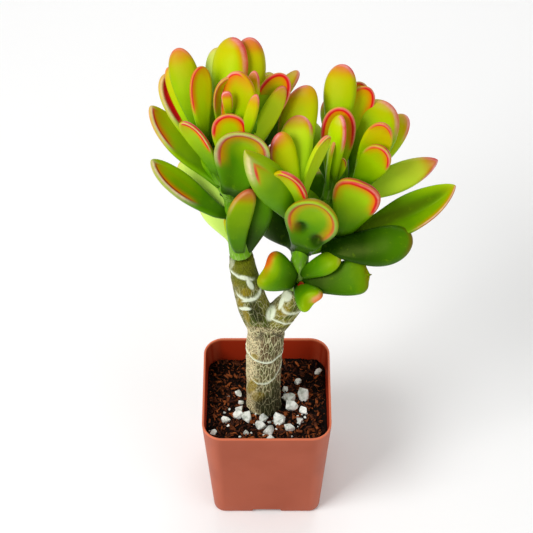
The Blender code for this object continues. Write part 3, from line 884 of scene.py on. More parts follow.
class Line:
    """The smooth middle line of a stem, with its radius."""

    def __init__(self, knots: Sequence[StemPoint], slim: float = 1.0) -> None:
        """Place the line.

        Args:
            knots: The points that it runs through, foot first.
            slim: The share of its radius that it has left at its end.
        """
        self.knots = list(knots)
        self.slim = slim
        self.spots = [VIEW.behind(k.x_px, k.y_px, k.behind) for k in knots]
        self.steps = [(b - a).length for a, b in zip(self.spots, self.spots[1:])]
        self.length = sum(self.steps)

    def at(self, share: float) -> tuple[Vector, float]:
        """Follow the line, which curves smoothly through its knots.

        Args:
            share: How far along, from 0 to 1.

        Returns:
            The point there and the stem's radius.
        """
        left = min(max(share, 0.0), 1.0) * self.length
        index = 0
        while index < len(self.steps) - 1 and left > self.steps[index]:
            left -= self.steps[index]
            index += 1
        t = left / self.steps[index]
        p1, p2 = self.spots[index], self.spots[index + 1]
        p0 = self.spots[index - 1] if index > 0 else p1 * 2 - p2
        p3 = self.spots[index + 2] if index + 2 < len(self.spots) else p2 * 2 - p1
        point = (p1 * 2 + (p2 - p0) * t + (p0 * 2 - p1 * 5 + p2 * 4 - p3) * t * t
                 + (p1 * 3 - p0 - p2 * 3 + p3) * t ** 3) / 2
        radius = self.knots[index].radius * (1 - t) + self.knots[index + 1].radius * t
        return point, radius * (1 - (1 - self.slim) * share)

    def direction(self, share: float) -> Vector:
        """The direction that the stem grows in."""
        ahead = self.at(min(share + 0.02, 1.0))[0]
        return (ahead - self.at(max(share - 0.02, 0.0))[0]).normalized()


TRUNK_LINE = stem_points(
    (265.0, 421, -0.5, 8.6), (264.8, 410, -0.5, 8.4), (263.6, 398, -0.5, 7.6),
    (263.4, 378, -0.5, 7.5), (264.2, 350, -0.5, 7.8), (266.0, 333, -0.5, 8.0),
    (266.5, 320, -0.5, 7.0))
LEFT_LIMB_LINE = stem_points(
    (264.5, 328, -0.5, 7.0), (256.0, 311, -0.5, 6.7), (248.5, 290, -0.5, 6.2),
    (243.5, 270, -0.5, 5.5), (241.3, 256, -0.5, 5.0))
RIGHT_LIMB_LINE = stem_points(
    (267.0, 331, -0.5, 6.2), (277.0, 318, -0.5, 6.3), (287.0, 307, -0.5, 5.8),
    (295.0, 296, -0.5, 5.0), (297.0, 288, -0.5, 4.6))
STEMS = {
    "left_main": stem_points(
        (240.9, 254.0, -0.5, 4.7), (236, 228, 2, 4.2), (231, 198, 6, 3.3),
        (228, 165, 10, 2.7), (229, 130, 14, 2.3), (230, 118, 16, 1.8)),
    "left_back": stem_points(
        (230, 184, 8, 2.9), (242, 152, 12, 2.6), (252, 127, 17, 2.2), (256, 114, 19, 1.7)),
    "left_side": stem_points(
        (231, 198, 6, 2.9), (216, 174, 10, 2.5), (208, 152, 13, 2.1), (205, 140, 15, 1.7)),
    "right_main": stem_points(
        (297.2, 286.0, -0.5, 4.3), (299, 266, 1, 4.3), (303, 243, 4, 3.7),
        (314, 216, 9, 3.1), (328, 196, 13, 2.6), (335, 182, 16, 1.9)),
    "right_front": stem_points(
        (305, 238, 3.5, 2.9), (303, 214, 2.5, 2.4), (302, 200, 3.5, 1.8)),
    "right_low": stem_points(
        (303, 250, 3, 2.9), (324, 246, 4, 2.6), (343, 236, 6, 1.8)),
    "right_side": stem_points(
        (318, 210, 10, 2.9), (340, 202, 13, 2.5), (357, 190, 16, 1.8)),
    "right_back": stem_points(
        (328, 197, 13, 2.7), (333, 168, 18, 2.3), (336, 148, 22, 1.8)),
}
LINES = {name: Line(knots) for name, knots in STEMS.items()}


@dataclass
class Boughs:
    """Round stems grown along their lines and joined where they fork."""

    name: str
    lines: Sequence[Line]
    voxel: float = 0.42 * MM
    sides: int = 24
    spacing: float = 1.6 * MM
    probe_spacing: float = 0.8 * MM
    soften: int = 6

    def tube(self, index: int, line: Line) -> bpy.types.Object:
        """One stem.

        A drum of unit size is added and cut into rings, and each ring is moved onto the line
        and widened to the stem's radius there.

        Args:
            index: The stem's number, for its name.
            line: Its middle line.

        Returns:
            The tube, closed at both ends.
        """
        count = max(3, round(line.length / self.spacing))
        tube = start_piece(bpy.ops.mesh.primitive_cylinder_add, f"{self.name}_tube_{index}",
                           vertices=self.sides, radius=1.0, depth=1.0, location=(0, 0, 0.5))
        bpy.ops.object.transform_apply(location=True)
        bpy.ops.object.mode_set(mode="EDIT")
        pick(tube, Part.EDGE, is_upright)
        bpy.ops.mesh.subdivide_edgering(number_cuts=count - 1, interpolation="LINEAR")
        bpy.ops.object.mode_set(mode="OBJECT")
        points = points_of(tube.data)
        level = np.rint(points[:, 2] * count).astype(int)
        side_axis = Vector((0.0, -1.0, 0.0))
        placed = points.copy()
        for step in range(count + 1):
            share = step / count
            centre, radius = line.at(share)
            along = line.direction(share)
            side_axis = (side_axis - along * side_axis.dot(along)).normalized()
            third = along.cross(side_axis)
            ring = level == step
            spokes = (points[ring, 0, None] * np.array(side_axis)
                      + points[ring, 1, None] * np.array(third))
            placed[ring] = np.array(centre) + spokes * radius
        move_points(tube.data, placed)
        return tube

    def build(self) -> bpy.types.Object:
        """Grow all the stems.

        Returns:
            One smooth closed skin over all of them.
        """
        tubes = [self.tube(i, line) for i, line in enumerate(self.lines)]
        whole = join_pieces(tubes, self.name)
        use_modifier(whole, "REMESH", mode="VOXEL", voxel_size=self.voxel, use_smooth_shade=True)
        use_modifier(whole, "SMOOTH", factor=0.5, iterations=self.soften)
        return whole

    def measure(self, points: np.ndarray) -> tuple[np.ndarray, np.ndarray, np.ndarray]:
        """Where each point lies on the nearest stem.

        Args:
            points: The points, one row each.

        Returns:
            The stem's number, the share along it, and the place in millimetres across and
            along it, for a grain that follows the stem.
        """
        best = np.full(len(points), np.inf)
        which = np.zeros(len(points), int)
        share = np.zeros(len(points))
        grain = np.zeros((len(points), 3))
        for index, line in enumerate(self.lines):
            count = max(12, round(line.length / self.probe_spacing))
            for step in range(count + 1):
                here = step / count
                centre, radius = line.at(here)
                along = np.array(line.direction(here))
                away = points - np.array(centre)
                run = away @ along
                spoke = away - run[:, None] * along
                gap = np.hypot(np.maximum(np.linalg.norm(spoke, axis=1) - radius, 0), run)
                closer = gap < best - 1e-9
                best[closer] = gap[closer]
                which[closer] = index
                share[closer] = here
                axis = np.array((0.0, -1.0, 0.0))
                axis = axis - along * (axis @ along)
                axis /= np.linalg.norm(axis)
                third = np.cross(along, axis)
                run_mm = (here * line.length + run[closer]) / MM + 40.0 * index
                grain[closer] = np.stack([spoke[closer] @ axis / MM,
                                          spoke[closer] @ third / MM, run_mm], 1)
        return which, share, grain


class Scar(NamedTuple):
    """A leaf scar round a stem, through three picture points of its front.

    Its width and height are in millimetres, and pale is how light it is.
    """

    left: tuple[float, float]
    middle: tuple[float, float]
    right: tuple[float, float]
    width: float
    height: float
    pale: float


class Patch(NamedTuple):
    """An oval place on the side of a stem that is seen, in the picture's units and degrees."""

    x_px: float
    y_px: float
    half_x: float
    half_y: float
    turn: float
    strength: float


@dataclass
class Trunk:
    """The woody trunk and its two limbs, with rings and papery strips of old leaf scars."""

    finish: Bark
    scars: Sequence[Scar] = (
        Scar((247, 352), (266, 363), (280, 356), 0.75, 0.45, 1.0),
        Scar((256, 383), (266, 384.5), (279, 372), 0.55, 0.35, 0.85),
        Scar((233, 274), (243, 279), (251, 280), 1.0, 0.35, 1.0),
        Scar((239.5, 297), (250, 300.5), (261, 291), 1.1, 0.40, 1.0),
        Scar((270, 318), (279, 323), (290, 324), 0.7, 0.30, 0.95),
        Scar((284, 312), (291, 315), (298, 313), 0.8, 0.25, 0.8),
    )
    papery: Sequence[Patch] = (
        Patch(271, 313, 4.5, 8, 15, 1.0), Patch(287, 296, 5, 6, 25, 0.8),
        Patch(282, 302, 2.2, 8, 20, 0.9), Patch(250, 284, 2.6, 6, -30, 1.0),
        Patch(244, 277.5, 7, 2.0, 8, 0.9), Patch(245, 308.5, 6, 1.8, 5, 1.0),
        Patch(250, 299.5, 8, 1.8, -12, 1.0), Patch(232, 262, 2.5, 9, 15, 0.4),
    )
    dark_patches: Sequence[Patch] = (
        Patch(256, 312, 6, 12, -25, 0.9), Patch(270, 406, 15, 11, 0, 1.0),
        Patch(276, 392, 5, 10, 0, 0.8),
    )
    yellow: Sequence[Patch] = (
        Patch(252, 386, 5, 8, 30, 0.9), Patch(254, 357, 4, 3, 20, 0.9),
        Patch(241, 302, 3, 5, 0, 0.9), Patch(246, 292, 5, 4, 0, 0.8),
        Patch(236, 283, 3, 4, 0, 0.7), Patch(258, 397, 7, 5, 0, 0.7),
        Patch(284, 311, 6, 5, 0, 0.8), Patch(246, 315, 3, 8, -20, 0.8),
    )
    bands: Sequence[Patch] = (Patch(262, 330, 17, 2.6, 6, 0.9),)
    scar_reach: float = 14 * MM
    waver_size: float = 3.5 * MM
    waver: float = 0.35 * MM
    papery_rise: float = 0.25
    fork_y_px: float = 331
    boughs: Boughs = field(init=False)

    def __post_init__(self) -> None:
        """Set up the trunk and its limbs."""
        lines = [Line(TRUNK_LINE), Line(LEFT_LIMB_LINE), Line(RIGHT_LIMB_LINE)]
        self.boughs = Boughs("trunk_skin", lines, voxel=0.40 * MM, sides=40, soften=8)

    def on_front(self, x_px: float, y_px: float, points: np.ndarray,
                 seen: np.ndarray) -> np.ndarray:
        """Find the skin at a picture point.

        Args:
            x_px: The picture point's distance from the left.
            y_px: Its distance from the top.
            points: The skin's points.
            seen: Where they are seen.

        Returns:
            The skin's point there that is nearest the eye.
        """
        miss = np.hypot(seen[:, 0] - x_px, seen[:, 1] - y_px)
        near = miss < max(1.2, miss.min() + 0.4)
        away = np.linalg.norm(points[near] - np.array(VIEW.eye), axis=1)
        return points[near][away.argmin()]

    def patches(self, rows: Sequence[Patch], seen: np.ndarray,
                facing: np.ndarray) -> np.ndarray:
        """How much of some patches each point has.

        Args:
            rows: The patches.
            seen: Where the points are seen.
            facing: How much each point's normal faces the eye.

        Returns:
            The shares, from 0 to 1.
        """
        share = np.zeros(len(seen))
        for row in rows:
            turn = math.radians(row.turn)
            dx, dy = seen[:, 0] - row.x_px, seen[:, 1] - row.y_px
            u = (dx * math.cos(turn) + dy * math.sin(turn)) / row.half_x
            v = (dy * math.cos(turn) - dx * math.sin(turn)) / row.half_y
            inside = smoothstep((1.25 - np.hypot(u, v)) / 0.5) * row.strength
            share = np.maximum(share, inside * smoothstep(facing / 0.25))
        return share

    def rings(self, points: np.ndarray, seen: np.ndarray,
              facing: np.ndarray) -> tuple[np.ndarray, np.ndarray]:
        """The rings of the leaf scars.

        Args:
            points: The skin's points.
            seen: Where they are seen.
            facing: How much each point's normal faces the eye.

        Returns:
            How pale each point is, and how far it is raised in millimetres.
        """
        scar = np.zeros(len(points))
        rise = np.zeros(len(points))
        waver = np.array([noise.noise(Vector(p) / self.waver_size) for p in points])
        for row in self.scars:
            # The plane through the scar's three points
            spots = [self.on_front(*p, points, seen) for p in (row.left, row.middle, row.right)]
            square = np.cross(spots[1] - spots[0], spots[2] - spots[0])
            square /= np.linalg.norm(square)
            middle = sum(spots) / 3
            off = np.abs((points - middle) @ square + waver * self.waver) / MM
            near = np.linalg.norm(points - middle, axis=1) < self.scar_reach
            beside = np.maximum(row.left[0] - seen[:, 0], seen[:, 0] - row.right[0])
            near = near * np.where(facing > 0, 1 - smoothstep((beside - 1) / 4), 0.6)
            band = np.exp(-(off / (0.75 * row.width)) ** 2) * near
            scar = np.maximum(scar, band * row.pale)
            lip = np.exp(-(off / (0.9 * row.width)) ** 2) * near
            rise = np.maximum(rise, lip * row.height)
        return scar, rise

    def build(self) -> None:
        """Build and dress the trunk."""
        trunk = self.boughs.build()
        mesh = trunk.data
        points, normals = points_of(mesh), normals_of(mesh)
        which, share, grain = self.boughs.measure(points)
        seen = VIEW.picture(points)
        to_eye = np.array(VIEW.eye) - points
        to_eye /= np.linalg.norm(to_eye, axis=1)[:, None]
        facing = (normals * to_eye).sum(1)
        scar, rise = self.rings(points, seen, facing)
        strips = self.patches(self.papery, seen, facing)
        scar = np.maximum(scar, strips)
        rise = np.maximum(rise, strips * self.papery_rise)
        lumps = np.array([
            0.32 * noise.noise(Vector((g[0] * 0.35, g[1] * 0.35, g[2] * 0.12)))
            + 0.20 * noise.noise(Vector((g[0] * 1.1, g[1] * 1.1, g[2] * 0.35)))
            for g in grain])
        move_points(mesh, points + normals * ((rise + lumps) * MM)[:, None])
        keep(mesh, "grain", grain)
        keep(mesh, "scar", scar)
        keep(mesh, "dark_patch", self.patches(self.dark_patches, seen, facing))
        keep(mesh, "ochre", self.patches(self.yellow, seen, facing))
        young = np.where(which == 1, smoothstep((share - 0.62) / 0.2), 0.0)
        keep(mesh, "young", young)
        limb = (which > 0) * smoothstep((self.fork_y_px - seen[:, 1]) / 6)
        band = self.patches(self.bands, seen, np.ones(len(points)))
        keep(mesh, "limb", limb * (1 - band))
        # Painted light: the side that faces the key light, on the left, is kept as lighter and
        # creamier, less so on the limbs. The tan band at the fork, the bark's own colour, is
        # lightened through it too.
        cream = smoothstep((-normals[:, 0] - 0.08) / 0.7) * (1 - 0.5 * limb)
        keep(mesh, "cream", np.maximum(cream, 0.5 * band))
        hand_over(trunk, "trunk", self.finish.make())


# Leaves


@dataclass(frozen=True)
class Leaf:
    """A leaf, by the picture point of its tip, its real size and its looks.

    Attributes:
        stem, at: The stem that it grows on, and how far along.
        side: Whether its tip is nearer or further than its foot.
        face: How many degrees its hollow face is turned away from the view.
        hollow: How deep it is cupped, as a share of half its width.
        notch, spike: How deep its end is notched, and how far the end's spike sticks out.
        point: How pointed its end is.
        sweep: How far its middle is bent aside.
        fold: How round its hollow is. A low number makes a fold.
        gold, blush: How golden and red it is.
        shade: How much it is darkened towards deep green, mostly as painted shade.
        painted_light: How much painted light turns it a paler, brighter green.
        pale, dusk: How much pale waxy dust its rim's crest has, which also stands for a painted
            highlight there, and how dark its red is.
        offset, wide: How far inside the rim its red line begins, and the line's width.
        run, lean: How far along the leaf the line begins, and how one-sided it is.
        puff: How far its face bulges.
        back: How far it is moved back along the line of sight.
        cap, crease: How red its end is, and how much painted shade darkens its middle crease.
        pits: How far along and across it has pits.
    """

    stem: str
    at: float
    tip_x_px: float
    tip_y_px: float
    side: Side
    length: float
    width: float
    face: float = 0.0
    hollow: float = 0.34
    notch: float = 0.0
    point: float = 0.0
    sweep: float = 0.0
    fold: float = 2.4
    gold: float = 0.5
    blush: float = 1.0
    shade: float = 0.0
    pale: float = 0.5
    offset: float = 0.5
    wide: float = 1.0
    run: float = 0.66
    lean: float = 0.0
    puff: float = 0.0
    dusk: float = 0.0
    painted_light: float = 0.0
    back: float = 0.0
    spike: float = 0.0
    cap: float = 0.0
    crease: float = 0.0
    pits: tuple[tuple[float, float], ...] = ()


@dataclass(frozen=True)
class Spare:
    """A leaf on the side turned away from the view, by its angles in degrees.

    It grows round its stem from the right, 90 being straight back, and leans out from it.
    """

    stem: str
    at: float
    around: float
    lean: float
    length: float
    width: float


NEAR, FAR = Side.NEAR, Side.FAR
LEFT_LEAVES = (
    Leaf("left_side", 0.90, 177, 48, FAR, 37 * MM, 12.0 * MM, face=165, hollow=0.2, gold=0.8,
         shade=0.3, blush=0.8, run=0.84, cap=0.7),
    Leaf("left_side", 0.70, 168, 67, FAR, 36 * MM, 8.0 * MM, face=165, gold=0.7, run=0.8),
    Leaf("left_side", 0.60, 164, 74, FAR, 38 * MM, 12.5 * MM, face=25, hollow=0.2,
         offset=1.9, wide=2.8, lean=-1.0, run=0.42, blush=1.4, dusk=0.1, gold=0.8, pale=0.9),
    Leaf("left_side", 0.25, 150, 106, FAR, 40 * MM, 13.5 * MM, face=40, hollow=0.2, point=0.5,
         offset=1.3, wide=1.0, lean=-1.0, run=0.5, gold=0.75, shade=0.2, pale=1.3),
    Leaf("left_side", 0.35, 182, 122, NEAR, 31 * MM, 10.0 * MM, face=-50, hollow=0.2,
         offset=0.6, wide=1.5, lean=1.0, run=0.42, gold=0.65, shade=0.2, blush=1.4, pale=0.7),
    Leaf("left_side", 0.95, 201, 66, NEAR, 31 * MM, 10.0 * MM, face=30, hollow=0.2, puff=0.2,
         offset=0.3, wide=0.8, lean=-0.6, run=0.35, gold=0.75, painted_light=0.2, blush=0.9, pale=0.2,
         cap=0.3),
    Leaf("left_main", 0.30, 151, 160, NEAR, 40 * MM, 12.5 * MM, face=40, hollow=0.25, point=0.4,
         offset=1.9, wide=0.9, lean=-1.0, run=0.35, gold=0.55, shade=0.4, dusk=0.4, pale=1.3),
    Leaf("left_main", 0.33, 180, 163, FAR, 34 * MM, 12.0 * MM, face=170, painted_light=0.9),
    Leaf("left_main", 0.36, 205, 172, FAR, 26 * MM, 10.0 * MM, face=170, painted_light=0.9),
    Leaf("left_main", 0.02, 203, 196, FAR, 36 * MM, 10.5 * MM, face=170, painted_light=1.2),
    Leaf("left_main", 0.00, 250, 189, NEAR, 36 * MM, 10.5 * MM, face=190, hollow=0.1, puff=0.3,
         gold=0.7, shade=0.6, blush=0.7, dusk=0.5, pale=0.3, run=0.62, sweep=-3.5 * MM,
         offset=1.2, cap=1.0, lean=-0.5, back=-1 * MM),
    Leaf("left_main", 0.44, 247, 134, NEAR, 32 * MM, 22.0 * MM, hollow=0.5, offset=0.95,
         wide=0.6, run=0.4, gold=0.4, shade=0.25, crease=0.2, blush=0.9, dusk=0.35, pale=1.0,
         back=-4.5 * MM),
    Leaf("left_main", 0.66, 230, 114, NEAR, 25 * MM, 14.0 * MM, hollow=0.2, puff=0.35,
         offset=0.3, wide=1.2, run=0.5, gold=0.6, painted_light=0.15, blush=1.5, lean=0.15, dusk=0.15,
         back=-0.5 * MM),
    Leaf("left_main", 0.99, 226, 91, NEAR, 16.5 * MM, 4.3 * MM, face=180, hollow=0.1,
         point=-0.5, gold=1.0, painted_light=0.2, pale=1.2, blush=0.9, run=0.4, cap=1.0, back=8 * MM),
    Leaf("left_main", 0.80, 229, 76, NEAR, 34 * MM, 12.0 * MM, face=20, gold=0.55, lean=-1.0,
         offset=0.3, wide=0.7, blush=0.5, run=0.45, dusk=-0.4, painted_light=0.35, back=13 * MM),
    Leaf("left_main", 0.78, 217, 46, FAR, 38 * MM, 12.0 * MM, face=180, painted_light=1.0, run=0.9,
         blush=0.4, gold=0.7, back=10 * MM),
    Leaf("left_main", 0.82, 233, 36, FAR, 39 * MM, 16.0 * MM, face=150, gold=0.65, lean=1.0,
         run=0.55, blush=1.4, dusk=0.15, pale=0.6, painted_light=0.2, back=7 * MM),
    Leaf("left_back", 0.60, 250, 36, FAR, 38 * MM, 13.5 * MM, face=180, gold=0.75, run=0.84,
         blush=1.2, cap=0.7, pale=0.9, back=8 * MM),
    Leaf("left_main", 0.62, 240, 71, NEAR, 46.5 * MM, 16.0 * MM, face=-30, hollow=0.2, puff=0.4,
         gold=0.62, lean=-0.8, offset=0.3, wide=0.8, run=0.4, pale=0.8, blush=0.9, cap=0.55,
         back=6 * MM),
    Leaf("left_back", 0.85, 255, 70, NEAR, 24 * MM, 6.0 * MM, face=150, gold=0.8, pale=1.0,
         cap=0.4, back=10 * MM),
    Leaf("left_back", 0.50, 257, 94, NEAR, 30 * MM, 5.2 * MM, face=165, gold=0.7, run=0.8,
         hollow=0.2, pale=0.8, cap=0.3, back=4 * MM),
    Leaf("left_back", 0.92, 267, 77, FAR, 22 * MM, 8.0 * MM, face=90, gold=0.4, painted_light=0.2),
    Leaf("left_back", 0.80, 271, 73, FAR, 28 * MM, 8.0 * MM, face=180, painted_light=0.4, blush=0.6),
    Leaf("left_back", 0.50, 285, 74, FAR, 32 * MM, 12.5 * MM, gold=0.75, offset=0.35,
         wide=1.3, run=0.45, blush=1.5, lean=0.25, puff=0.3, hollow=0.2),
    Leaf("left_back", 0.20, 284, 86, NEAR, 38 * MM, 8.2 * MM, face=205, hollow=0.2, gold=0.75,
         painted_light=0.6, run=0.86, pale=1.2, cap=0.3),
    Leaf("left_back", 0.45, 298, 71, FAR, 44 * MM, 7.5 * MM, face=150, painted_light=0.4, gold=0.8,
         lean=0.6, run=0.7, cap=0.4, pale=1.0),
    Leaf("left_main", 0.02, 263, 191, NEAR, 37 * MM, 14.0 * MM, face=170, hollow=0.1, gold=0.0,
         shade=0.75, blush=0.0, pale=0.0, run=1.2, back=7 * MM),
    Leaf("left_main", 0.03, 229, 213, NEAR, 19 * MM, 7.0 * MM, face=180, hollow=0.1, gold=0.4,
         blush=0.2, pale=0.0, back=-1 * MM),
    Leaf("left_back", 0.15, 281, 106, FAR, 36 * MM, 13.0 * MM, face=170, hollow=0.2, gold=0.0,
         shade=0.6, blush=0.2, pale=0.0),
)
RIGHT_LEAVES = (
    Leaf("right_main", 0.10, 259, 265, NEAR, 20 * MM, 17.0 * MM, face=180, notch=3 * MM,
         gold=0.15, shade=0.28, lean=0.5, run=0.7, blush=0.9, pale=0.0),
    Leaf("right_main", 0.08, 368, 275, NEAR, 31 * MM, 15.0 * MM, face=180, hollow=0.1,
         point=-0.7, shade=0.7, gold=0.1, blush=0.6, dusk=0.9, run=0.9, pale=0.0,
         spike=1.6 * MM),
    Leaf("right_main", 0.15, 341, 257, NEAR, 22 * MM, 10.0 * MM, face=150, shade=0.3,
         gold=0.2, blush=0.6, dusk=0.8, run=0.88, pale=0.3, spike=0.8 * MM),
    Leaf("right_main", 0.07, 317, 307, NEAR, 17 * MM, 12.0 * MM, face=180, gold=0.3, pale=0.4,
         shade=0.35, notch=3 * MM, lean=-1.0, run=0.72, blush=0.7),
    Leaf("right_front", 0.90, 307, 85, FAR, 43 * MM, 16.0 * MM, face=160, sweep=-3 * MM,
         hollow=0.2, gold=0.6, lean=-0.9, run=0.4, pale=0.7, blush=0.9, cap=0.3),
    Leaf("right_front", 0.92, 300, 114, NEAR, 35 * MM, 14.0 * MM, face=168, sweep=-2 * MM,
         hollow=0.2, gold=0.6, run=0.7, pale=0.9, cap=0.4, painted_light=0.6, lean=0.4, back=-1 * MM),
    Leaf("right_front", 0.75, 280, 132, NEAR, 36 * MM, 11.5 * MM, face=190, sweep=-2 * MM,
         hollow=0.2, gold=0.9, lean=-0.9, run=0.5, pale=0.8, cap=0.4, painted_light=0.5, blush=1.2),
    Leaf("right_front", 0.55, 281, 173, NEAR, 33 * MM, 13.5 * MM, face=-45, hollow=0.2,
         offset=0.4, wide=1.5, lean=0.9, run=0.42, gold=0.6, blush=1.4),
    Leaf("right_front", 0.40, 245, 151, NEAR, 53 * MM, 15.0 * MM, face=-8, hollow=0.05,
         point=1.0, puff=1.0, offset=2.8, wide=0.9, lean=-1.0, run=0.6, gold=0.45, shade=0.25,
         pale=1.0, blush=0.8, back=0.5 * MM),
    Leaf("right_main", 0.36, 256, 205, FAR, 30 * MM, 16.0 * MM, face=150, shade=0.8, blush=0.1,
         gold=0.0, pale=0.0),
    Leaf("right_main", 0.36, 318, 203, NEAR, 32 * MM, 22.0 * MM, hollow=0.3, point=0.4,
         offset=1.0, wide=0.6, run=0.3, gold=0.3, shade=0.28, blush=0.6, dusk=0.5, pale=0.2,
         back=-10 * MM, pits=((0.45, -3.5 * MM), (0.33, 4.5 * MM))),
    Leaf("right_low", 0.95, 362, 183, NEAR, 32 * MM, 19.5 * MM, hollow=0.2, puff=0.5,
         point=-0.3, offset=0.25, wide=1.0, run=0.5, gold=0.45, shade=0.05, blush=1.5,
         lean=0.35, dusk=0.1),
    Leaf("right_side", 0.85, 384, 148, NEAR, 31 * MM, 12.5 * MM, hollow=0.2, puff=0.5,
         offset=0.4, wide=1.0, gold=0.6, shade=0.12, blush=1.1, lean=0.3),
    Leaf("right_side", 0.92, 385, 124, NEAR, 38 * MM, 12.0 * MM, hollow=0.2, puff=0.4,
         offset=0.3, wide=0.8, gold=0.75, run=0.8),
    Leaf("right_side", 0.98, 383, 100, NEAR, 37 * MM, 20.0 * MM, face=170, hollow=0.2,
         gold=0.4, lean=0.8, run=0.6, pale=0.7, blush=0.8),
    Leaf("right_side", 0.80, 406, 115, FAR, 40 * MM, 12.0 * MM, face=165, painted_light=0.2, gold=0.7,
         lean=0.6, run=0.7, pale=1.0),
    Leaf("right_side", 0.60, 438, 160, FAR, 41 * MM, 12.0 * MM, face=190, hollow=0.2,
         point=0.6, gold=0.8, painted_light=0.68, run=0.7, lean=0.5, pale=1.3, blush=1.5, cap=0.3),
    Leaf("right_low", 0.98, 455, 186, NEAR, 50 * MM, 16.5 * MM, face=-25, point=0.7,
         sweep=2 * MM, hollow=0.65, fold=1.2, shade=0.35, crease=0.9, painted_light=0.15, pale=0.9,
         gold=0.25, lean=0.9, run=0.5, offset=0.1, wide=0.5, blush=0.45, dusk=0.5, cap=0.3,
         back=-5 * MM),
    Leaf("right_low", 0.45, 413, 240, NEAR, 38 * MM, 16.5 * MM, face=170, sweep=2 * MM,
         shade=0.8, blush=0.5, dusk=0.9, pale=0.0, gold=0.0, run=0.85),
    Leaf("right_main", 0.95, 341, 107, NEAR, 35 * MM, 14.0 * MM, hollow=0.2, puff=0.3,
         gold=0.75, offset=0.35, wide=1.15, run=0.45, blush=1.5, lean=0.15, dusk=0.1),
    Leaf("right_main", 0.99, 341, 115, NEAR, 31 * MM, 9.0 * MM, face=140, painted_light=0.4,
         lean=1.0, run=0.5, pale=1.0, blush=1.3),
    Leaf("right_front", 0.95, 329, 136, NEAR, 33 * MM, 8.5 * MM, face=60, gold=0.8, painted_light=0.6,
         run=0.8, lean=-0.5, pale=0.9),
    Leaf("right_main", 0.90, 336, 140, NEAR, 25 * MM, 6.0 * MM, face=90, dusk=0.8, run=0.7),
    Leaf("right_main", 0.97, 343, 158, NEAR, 15 * MM, 5.0 * MM, dusk=0.9),
    Leaf("right_back", 0.95, 343, 64, FAR, 34 * MM, 13.5 * MM, face=165, hollow=0.2,
         gold=0.75, shade=0.05, run=0.8, lean=0.5, blush=0.9, cap=0.5, pale=0.9),
    Leaf("right_back", 0.80, 362, 82, FAR, 33 * MM, 12.0 * MM, gold=0.6, pale=1.0),
    Leaf("right_back", 0.90, 369, 87, FAR, 29 * MM, 12.0 * MM, face=15, gold=0.8, offset=0.4,
         wide=1.2, blush=1.3, lean=0.4, run=0.5, puff=0.3, hollow=0.2),
    Leaf("right_main", 0.30, 326, 172, FAR, 34 * MM, 15.0 * MM, face=170, hollow=0.2, gold=0.0,
         shade=0.6, blush=0.2, pale=0.0),
    Leaf("right_main", 0.06, 304, 284, NEAR, 4 * MM, 3.0 * MM, dusk=1.6, blush=0.75, run=-0.5,
         gold=0.0, shade=1.2, pale=0.0, offset=0.0, wide=9.0, back=-3 * MM),
    Leaf("right_main", 0.05, 315, 282, NEAR, 7 * MM, 2.5 * MM, dusk=1.6, blush=0.75, run=-0.5,
         gold=0.0, shade=1.0, pale=0.0, offset=0.0, wide=9.0, back=-3.5 * MM),
)
LEFT_SPARES = (
    Spare("left_main", 0.14, 100, 62, 32 * MM, 13 * MM),
    Spare("left_main", 0.30, 60, 60, 34 * MM, 13 * MM),
    Spare("left_main", 0.45, 120, 58, 35 * MM, 13 * MM),
    Spare("left_main", 0.60, 80, 50, 34 * MM, 13 * MM),
    Spare("left_back", 0.25, 70, 64, 33 * MM, 13 * MM),
    Spare("left_back", 0.50, 100, 52, 31 * MM, 12 * MM),
    Spare("left_back", 0.75, 70, 40, 28 * MM, 11 * MM),
    Spare("left_side", 0.35, 115, 60, 32 * MM, 12 * MM),
    Spare("left_side", 0.65, 85, 50, 30 * MM, 12 * MM),
)
RIGHT_SPARES = (
    Spare("right_main", 0.22, 95, 66, 32 * MM, 13 * MM),
    Spare("right_main", 0.45, 120, 62, 33 * MM, 13 * MM),
    Spare("right_main", 0.60, 80, 60, 33 * MM, 13 * MM),
    Spare("right_side", 0.45, 70, 60, 33 * MM, 13 * MM),
    Spare("right_side", 0.75, 50, 48, 30 * MM, 12 * MM),
    Spare("right_back", 0.30, 115, 60, 32 * MM, 12 * MM),
    Spare("right_back", 0.55, 65, 52, 30 * MM, 12 * MM),
    Spare("right_back", 0.80, 95, 42, 27 * MM, 11 * MM),
)


